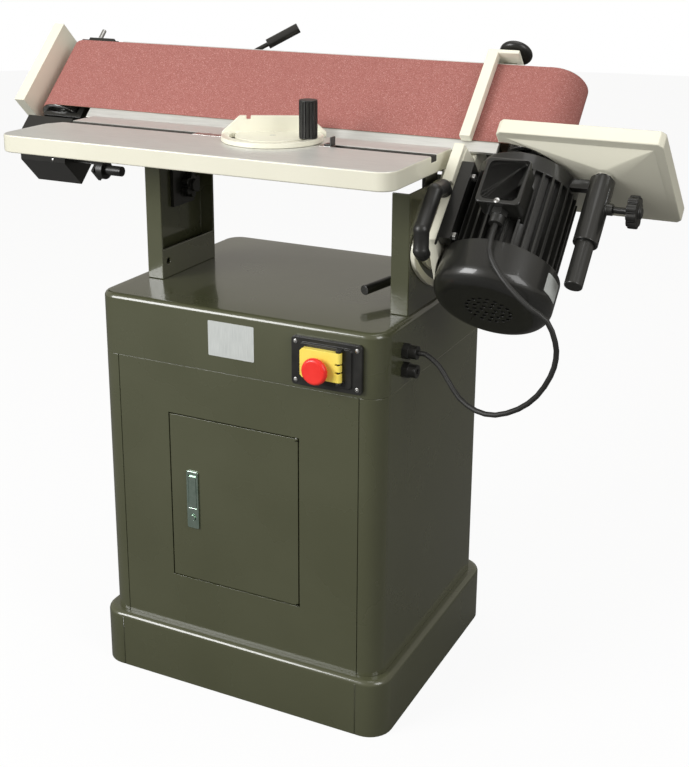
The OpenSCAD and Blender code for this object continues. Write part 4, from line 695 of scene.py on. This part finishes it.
# %% Plates
plate_foil, tree, shader, where = blank_finish("plate_foil", Metallic=0.35)
sheen = noise(tree, stretched(tree, where, (900, 900, 40)), 1, 2)
foil = ramp(tree, sheen, (LOW_STOP, screen(205, 210, 208)), (HIGH_STOP, screen(220, 224, 222)))
wire_up(tree, shader, Base_Color=foil, Roughness=span(tree, sheen, 0.36, 0.5))
bump(tree, shader, sheen, 0.01 * MM, 0.3)


def plate_mesh(wide, tall, thick, corner, cuts=0):
    """A thin plate with rounded corners, its back at the origin, in metres."""
    work = bmesh.new()
    bmesh.ops.create_cube(work, size=1)
    bmesh.ops.scale(work, vec=(wide * MM, tall * MM, thick * MM), verts=work.verts)
    bmesh.ops.translate(work, vec=(0, 0, thick * MM / 2), verts=work.verts)
    posts = [e for e in work.edges if abs((e.verts[0].co - e.verts[1].co).z) > 0.5 * thick * MM]
    bmesh.ops.bevel(work, geom=posts, offset=corner * MM, segments=4, profile=0.5, affect="EDGES",
                    material=-1)
    for i in range(cuts):
        x = wide * ((i + 1) / (cuts + 1) - 0.5) * MM
        bmesh.ops.bisect_plane(work, geom=work.verts[:] + work.edges[:] + work.faces[:], plane_co=(x, 0, 0),
                               plane_no=(1, 0, 0))
    return work


FOIL_T, FOIL_CORNER = 0.5, 2
work = plate_mesh(82, 57, FOIL_T, FOIL_CORNER)
bmesh.ops.transform(work, matrix=facing(Vector((-3, -214, 625.5)) * MM, FRONT, UP), verts=work.verts)
name_plate = settle("name_plate", work, [plate_foil], "stand")
print("name plate faces:", len(name_plate.data.polygons))

# %% [markdown]
# ### A bent plate
# The motor's plate is cut across in eleven places and wrapped round the fan cover: a point's distance along
# the plate becomes an angle, and its height above the plate's back is added to the cover's radius.

# %% Motor plate
COVER_R = 90
MOTOR_X, MOTOR_BACK = 382, 48
PLATE_ACROSS = -222
PLATE_TURN = math.radians(10)
work = plate_mesh(40, 30, FOIL_T, FOIL_CORNER, cuts=11)
for v in work.verts:
    angle = v.co.x / (COVER_R * MM)
    reach = COVER_R * MM + v.co.z
    v.co = Vector((reach * math.sin(angle), v.co.y, reach * math.cos(angle)))
centre = on_head(MOTOR_X, MOTOR_BACK, PLATE_ACROSS)
toward = ALONG * math.cos(PLATE_TURN) - BACK * math.sin(PLATE_TURN)
bmesh.ops.transform(work, matrix=facing(centre, toward, ACROSS), verts=work.verts)
motor_plate = settle("motor_plate", work, [plate_foil], "head")
print("motor plate faces:", len(motor_plate.data.polygons))

# %% [markdown]
# ## World and floor
# A pale world fills the shadows. The world and the floor look white to the camera, while their light on the
# machine stays at a plain level, and part of the floor still takes the machine's shadow.

# %% Stage
scene = bpy.context.scene
scene.view_settings.view_transform = "Standard"
world = bpy.data.worlds.new("studio")
scene.world = world
world.use_nodes = True
sky = world.node_tree
back_light = sky.nodes["Background"]


def seen_share(tree):
    """One for rays straight from the camera, and zero for the light that falls on the machine."""
    rays = add(tree, "LightPath")
    return add(tree, "Math", {0: rays.outputs["Is Camera Ray"], 1: rays.outputs["Is Transmission Ray"]},
               operation="MAXIMUM").outputs["Value"]


FILL = 0.38
WARM = (1, 0.95, 0.86, 1)
WHITE = (1, 1, 1, 1)
seen = seen_share(sky)
sky.links.new(add(sky, "MapRange", {"Value": seen, "To Min": FILL, "To Max": 1.0}).outputs["Result"],
              back_light.inputs["Strength"])
sky.links.new(add(sky, "Mix", {"Factor": seen, "A": WARM, "B": WHITE}, data_type="RGBA").outputs["Result"],
              back_light.inputs["Color"])

floor_white = bpy.data.materials.new("floor_white")
floor_white.use_nodes = True
ground = floor_white.node_tree
ground.nodes.remove(ground.nodes["Principled BSDF"])
seen = seen_share(ground)
FLOOR_R = 9
FLOOR_DARK, FLOOR_PALE = 0.16, 0.9
GLOW_SHARE = 0.92
shade = add(ground, "MapRange", {"Value": seen, "To Min": FLOOR_DARK, "To Max": FLOOR_PALE}).outputs["Result"]
matt = add(ground, "BsdfDiffuse", {"Color": shade})
glow = add(ground, "Emission", {"Color": WHITE, "Strength": 1.0})
amount = add(ground, "Math", {0: seen, 1: GLOW_SHARE}, operation="MULTIPLY").outputs["Value"]
mixed = add(ground, "MixShader", {0: amount, 1: matt.outputs["BSDF"], 2: glow.outputs["Emission"]})
ground.links.new(mixed.outputs["Shader"], ground.nodes["Material Output"].inputs["Surface"])

work = bmesh.new()
bmesh.ops.create_circle(work, cap_ends=True, segments=64, radius=FLOOR_R)
mesh = bpy.data.meshes.new("floor")
work.to_mesh(mesh)
work.free()
mesh.materials.append(floor_white)
floor = bpy.data.objects.new("floor", mesh)
scene.collection.objects.link(floor)
print("floor radius", FLOOR_R, "m, fill light", FILL)

# %% [markdown]
# ## Lights
# A product photograph is lit by large soft panels. Each is an area light turned to look at a point on the
# machine: a strong one from the front left, a weak one from the right and a weak one overhead.

# %% Lights


def panel(name, place, aim, wide, tall, watts):
    light = bpy.data.lights.new(name, "AREA")
    light.shape = "RECTANGLE"
    light.size, light.size_y = wide, tall
    light.energy = watts
    lamp = bpy.data.objects.new(name, light)
    scene.collection.objects.link(lamp)
    lamp.location = place
    lamp.rotation_euler = (Vector(aim) - Vector(place)).to_track_quat("-Z", "Y").to_euler()
    return lamp


lamps = [panel("front_left", (-1.8, -2.7, 2.0), (0, 0, 0.7), 1.8, 1.8, 108),
         panel("front_right", (2.6, -1.2, 2.0), (0.2, 0, 0.6), 1.4, 1.8, 34),
         panel("overhead", (0.2, 0.4, 3.2), (0, 0, 0.6), 2.4, 1.8, 20)]
print("lights:", [lamp.name for lamp in lamps])
